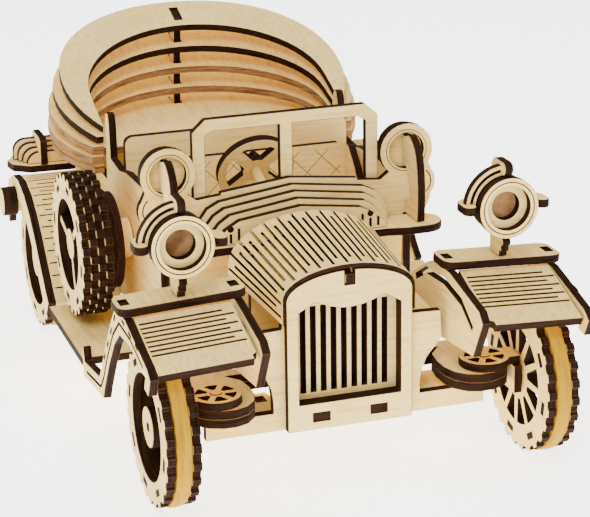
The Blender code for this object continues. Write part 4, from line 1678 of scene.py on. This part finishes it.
@dataclass
class SpareWheel:
    """Spare wheel: four toothed plies turned against each other, on its disc mount."""

    shop: Workshop
    x: float = -67.0
    y: float = 104.5
    z: float = 51.0
    plies: int = 4
    teeth: int = 26
    radius: float = 25.1
    root: float = 23.4
    opening: float = 16.0
    inner_step: float = 0.8
    spokes: int = 3
    spoke: Point = (13.0, 2.7)
    spoke_centre: float = 9.6
    spoke_turn: float = 18.0
    spoke_plies_in: float = 1.9
    spoke_width: float = 8.0
    hub_radius: float = 5.6
    hub_depth: float = 9.0
    mount_gap: float = 0.3
    mount_radii: Point = (18.2, 17.0)
    stub_radius: float = 7.0
    stub_end: float = -45.0
    pegs: int = 8
    peg: Point = (2.3, 4.6)
    peg_turn: float = 10.0
    peg_depth: float = 0.18

    def place(self, depth: float) -> Matrix:
        """Plane of a sheet whose middle lies a depth in from the outer face."""
        return plane("X", x=self.x + depth, y=self.y, z=self.z)

    def build(self) -> None:
        """Make the plies, the spokes, the hub, the peg ends and the mount."""
        shop = self.shop
        for index in range(self.plies):
            tread = toothed(self.radius, self.root, self.teeth, 0.5 * (index % 2))
            outside = index in (0, self.plies - 1)
            hole = circle(self.opening + (0.0 if outside else self.inner_step), 48)
            piece = shop.plate(f"spare_ply_{index + 1}", self.place((index + 0.5) * SHEET), tread, [hole],
                               SHEET - GLUE_LINE)
            shop.finish(piece, CAR_BODY, ["spare_wheel"] if index == 0 else [], width=SLIM_RIM)
        for index in range(self.spokes):
            turn = 360.0 / self.spokes * index + self.spoke_turn
            outline = bar(polar(self.spoke_centre, turn), *self.spoke, turn)
            piece = shop.plate(f"spare_spoke_{index + 1}", self.place(self.spoke_plies_in * SHEET), outline,
                               thickness=self.spoke_width)
            shop.finish(piece, CAR_BODY)
        hub = shop.plate("spare_hub_plate", self.place(2 * SHEET), circle(self.hub_radius, 32),
                         thickness=self.hub_depth)
        shop.finish(hub, CAR_BODY)
        self.mount()
        turns = [360.0 / self.pegs * index + self.peg_turn for index in range(self.pegs)]
        ends = [bar(polar(PEG_CIRCLE, turn), *self.peg, turn) for turn in turns]
        shop.tab_ends("spare_tab_ends", self.place(self.peg_depth), ends, CAR_BODY)

    def mount(self) -> None:
        """Make the two discs behind the wheel and the stub to the body side."""
        shop, inner = self.shop, self.plies * SHEET + self.mount_gap
        for index, radius in enumerate(self.mount_radii):
            piece = shop.plate(f"spare_mount_ply_{index + 1}", self.place(inner + (index + 0.5) * SHEET),
                               circle(radius, 48), thickness=SHEET - GLUE_LINE)
            shop.finish(piece, CAR_BODY, ["spare_wheel_mount"] if index == 0 else [])
        shop.rod("spare_mount_stub", car_point(self.x + inner + 2 * SHEET, self.y, self.z),
                 car_point(self.stub_end, self.y, self.z), self.stub_radius, CAR_BODY)


@dataclass
class RunningGear:
    """Rear axle, front axle plate and the two steering knuckles."""

    shop: Workshop
    kingpin: Point = (45.0, -1.9)
    kingpin_ends: Point = (24.6, 34.0)
    rear_half: float = 63.5
    stub_start: float = 54.0
    axle_heights: Point = (26.35, 29.35)
    axle_sheet: float = 2.9
    axle_middle: tuple[Point, ...] = ((36.5, 17.0), (32.4, 12.0), (31.6, 6.0), (31.8, 0.0), (33.4, -5.0),
                                      (36.6, -8.6), (40.8, -10.2), (45.0, -10.0))
    axle_boss: float = 7.6
    axle_boss_turns: Point = (-56.0, 52.0)
    axle_end: tuple[Point, ...] = ((51.0, 12.0), (49.4, 17.4), (46.0, 22.0))
    pin_bore: float = 2.4
    arm_top: float = 31.0
    arm_radius: float = 8.2
    arm_end: Point = (10.8, 4.1)
    spokes: int = 6
    spoke_radii: Point = (2.9, 6.4)
    spoke_half_turns: Point = (10.0, 20.0)
    spoke_depth: float = 1.2
    hanger_offset: float = 9.55
    hanger_half: float = 6.0
    hanger_tab: float = 3.9
    hanger_heights: Triple = (21.6, 30.9, 32.4)

    def build(self) -> None:
        """Make the axles and knuckles."""
        ends = [car_point(sign * self.rear_half, REAR_AXLE_Y, AXLE_HEIGHT) for sign in (-1, 1)]
        self.shop.rod("rear_axle_dowel", *ends, PIN_RADIUS, CAR_BODY, nodes=["rear_axle"])
        self.front_axle()
        for side in Side:
            self.knuckle(side)

    def front_axle(self) -> None:
        """Make the two glued plies that carry the kingpins."""
        half = [*self.axle_middle, *arc(self.kingpin, self.axle_boss, *self.axle_boss_turns, 12), *self.axle_end]
        pins = [circle(self.pin_bore, 20, (sign * self.kingpin[0], self.kingpin[1])) for sign in (-1, 1)]
        for index, z in enumerate(self.axle_heights):
            piece = self.shop.plate(f"axle_ply_{index + 1}", plane("Z", z=z), both_halves(half), pins,
                                    self.axle_sheet)
            self.shop.finish(piece, CAR_BODY, ["front_axle_plate"] if index == 0 else [])

    def arm(self, side: Side) -> None:
        """Make one knuckle's arm, with the openings between the spokes of its round end.

        Args:
            side: Hand of the car.
        """
        shop, x, y = self.shop, side.value * self.kingpin[0], self.kingpin[1]
        reach, half = self.arm_end
        outline = [*arc(ORIGIN, self.arm_radius, 30.0, 330.0, 28), (reach, -half), (reach, half)]
        piece = shop.plate(f"knuckle_arm_{side.word}", plane("Z", x=x, y=y, z=self.arm_top + SHEET / 2),
                           outline if side is Side.RIGHT else mirrored(outline))
        inner, outer = self.spoke_radii
        narrow, wide = self.spoke_half_turns
        openings = []
        for index in range(self.spokes):
            middle = 360.0 / self.spokes * (index + 0.5)
            openings.append([arc(ORIGIN, outer, middle - wide, middle + wide, 4)
                             + arc(ORIGIN, inner, middle + narrow, middle - narrow, 1)])
        shop.cut(piece, plane("Z", x=x, y=y, z=self.arm_top + SHEET), openings, self.spoke_depth)
        shop.finish(piece, f"{side.word}_knuckle", [f"knuckle_{side.word}"])

    def knuckle(self, side: Side) -> None:
        """Make one knuckle: arm, hanger, stub axle and kingpin.

        Args:
            side: Hand of the car.
        """
        shop, sign, word, body = self.shop, side.value, side.word, f"{side.word}_knuckle"
        x, y = sign * self.kingpin[0], self.kingpin[1]
        self.arm(side)
        low, shoulder, top = self.hanger_heights
        half, tab = self.hanger_half, self.hanger_tab
        outline = [(y - half, low), (y + half, low), (y + half, shoulder), (y + tab, shoulder),
                   (y + tab, top), (y - tab, top), (y - tab, shoulder), (y - half, shoulder)]
        hanger = shop.plate(f"knuckle_hanger_{word}", plane("X", x=x + sign * self.hanger_offset), outline)
        shop.finish(hanger, body)
        shop.rod(f"stub_axle_{word}", car_point(sign * self.stub_start, y, AXLE_HEIGHT),
                 car_point(sign * self.rear_half, y, AXLE_HEIGHT), PIN_RADIUS, body)
        low, high = self.kingpin_ends
        shop.rod(f"kingpin_{word}", car_point(x, y, low), car_point(x, y, high), PIN_RADIUS, body, dark=True)


@dataclass
class Steering:
    """Steering wheel with its diamond cap, on the raked column."""

    shop: Workshop
    centre: Triple = (-4.1, 85.0, 77.4)
    rake: float = 24.0
    radius: float = 13.7
    openings: int = 4
    opening_radii: Point = (4.8, 10.8)
    opening_half_turn: float = 33.0
    opening_taper: float = 14.0
    cap: float = 7.2
    cap_depth: float = 2.75
    column_radius: float = 1.7
    column_ends: Point = (1.4, 26.6)

    def build(self) -> None:
        """Make the wheel, cap and column."""
        shop, body = self.shop, "steering"
        turn = Matrix.Rotation(math.radians(self.rake), 4, "X") @ plane("Y", y=CAR_MIDDLE)
        place = Matrix.Translation(car_point(*self.centre)) @ turn
        inner, outer = self.opening_radii
        holes = []
        for index in range(self.openings):
            middle = 90.0 + 360.0 / self.openings * index
            low, high = middle - self.opening_half_turn, middle + self.opening_half_turn
            holes.append(arc(ORIGIN, outer, low, high, 8)
                         + arc(ORIGIN, inner, high - self.opening_taper, low + self.opening_taper, 3))
        rim = shop.plate("steering_rim", place, circle(self.radius, 64), holes)
        shop.finish(rim, body, ["steering_wheel"])
        cap_place = place @ Matrix.Translation(-UP * self.cap_depth * MM)
        shop.finish(shop.plate("steering_cap", cap_place, bar(ORIGIN, self.cap, self.cap, 45.0)), body)
        start, end = (place @ (UP * reach * MM) for reach in self.column_ends)
        shop.rod("steering_column", start, end, self.column_radius, body)


# Studio


@dataclass(frozen=True)
class SoftLamp:
    """One soft lamp of the studio, placed in metres."""

    name: str
    place: Triple
    power: float
    size: float

    def hang(self) -> None:
        """Hang the lamp so that it looks at the car."""
        data = bpy.data.lights.new(self.name, "AREA")
        data.energy = self.power
        data.size = self.size
        lamp = bpy.data.objects.new(self.name, data)
        lamp.location = self.place
        aim = Vector((0.0, 0.0, 0.05)) - Vector(self.place)
        lamp.rotation_euler = aim.to_track_quat("-Z", "Y").to_euler()
        bpy.context.scene.collection.objects.link(lamp)


@dataclass
class Studio:
    """Pale floor, soft lamps and the camera."""

    eye: Triple = (-0.2103, -0.67979, 0.2902)
    azimuth: float = -18.15
    elevation: float = 19.30
    roll: float = -0.858
    lens: float = 129.67
    sensor: float = 36.0
    sky: Colour = (1.0, 0.985, 0.96)
    sky_strength: float = 0.5
    floor_half: float = 6.0
    floor_colour: Colour = (0.95, 0.95, 0.945)
    glow: Colour = (1.0, 1.0, 0.99)
    glow_strength: float = 3.5
    lamps: tuple[SoftLamp, ...] = (
        SoftLamp("key", (-0.45, -0.75, 0.95), 11.0, 0.5),
        SoftLamp("fill", (0.75, -0.55, 0.50), 2.4, 0.7),
        SoftLamp("top", (0.0, 0.15, 1.1), 8.0, 0.9))

    def build(self) -> None:
        """Set the floor, the camera, the lamps and the sky."""
        self.floor()
        self.camera()
        for lamp in self.lamps:
            lamp.hang()
        world = bpy.data.worlds.new("studio")
        world.use_nodes = True
        background = world.node_tree.nodes["Background"]
        background.inputs["Color"].default_value = (*self.sky, 1.0)
        background.inputs["Strength"].default_value = self.sky_strength
        bpy.context.scene.world = world

    def floor(self) -> None:
        """Lay a wide pale floor that glows a little."""
        mesh = bpy.data.meshes.new("floor")
        corners = [(x, y, 0.0) for x, y in bar(ORIGIN, 2 * self.floor_half, 2 * self.floor_half)]
        mesh.from_pydata(corners, [], [(0, 1, 2, 3)])
        bench = ShaderBench("pale_floor")
        bench.shader.inputs["Base Color"].default_value = (*self.floor_colour, 1.0)
        bench.shader.inputs["Roughness"].default_value = 0.9
        bench.shader.inputs["Emission Color"].default_value = (*self.glow, 1.0)
        bench.shader.inputs["Emission Strength"].default_value = self.glow_strength
        mesh.materials.append(bench.material)
        ground = bpy.data.objects.new("floor", mesh)
        bpy.context.scene.collection.objects.link(ground)

    def camera(self) -> None:
        """Stand the camera to the car's front left, a little above it."""
        data = bpy.data.cameras.new("camera")
        data.lens = self.lens
        data.sensor_width = self.sensor
        data.clip_start = 0.01
        eye = bpy.data.objects.new("camera", data)
        eye.matrix_world = (Matrix.Translation(Vector(self.eye))
                            @ Matrix.Rotation(math.radians(self.azimuth), 4, "Z")
                            @ Matrix.Rotation(math.radians(90.0 - self.elevation), 4, "X")
                            @ Matrix.Rotation(math.radians(self.roll), 4, "Z"))
        bpy.context.scene.collection.objects.link(eye)
        bpy.context.scene.camera = eye


def main() -> None:
    """Build every sub-assembly in order."""
    logging.basicConfig(level=logging.INFO, format="%(name)s: %(message)s")
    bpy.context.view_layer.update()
    Studio().build()
    shop = Workshop()
    for part in (Radiator, Bonnet, Cowl):
        part(shop).build()
    for side in Side:
        for part in (Headlamp, FrontFender, RearFender):
            part(shop, side).build()
        for row in Row:
            RoadWheel(shop, row, side).build()
    for part in (BodyTub, FoldedTop, Luggage, SpareWheel, RunningGear, Steering):
        part(shop).build()


if __name__ == "__main__":
    main()
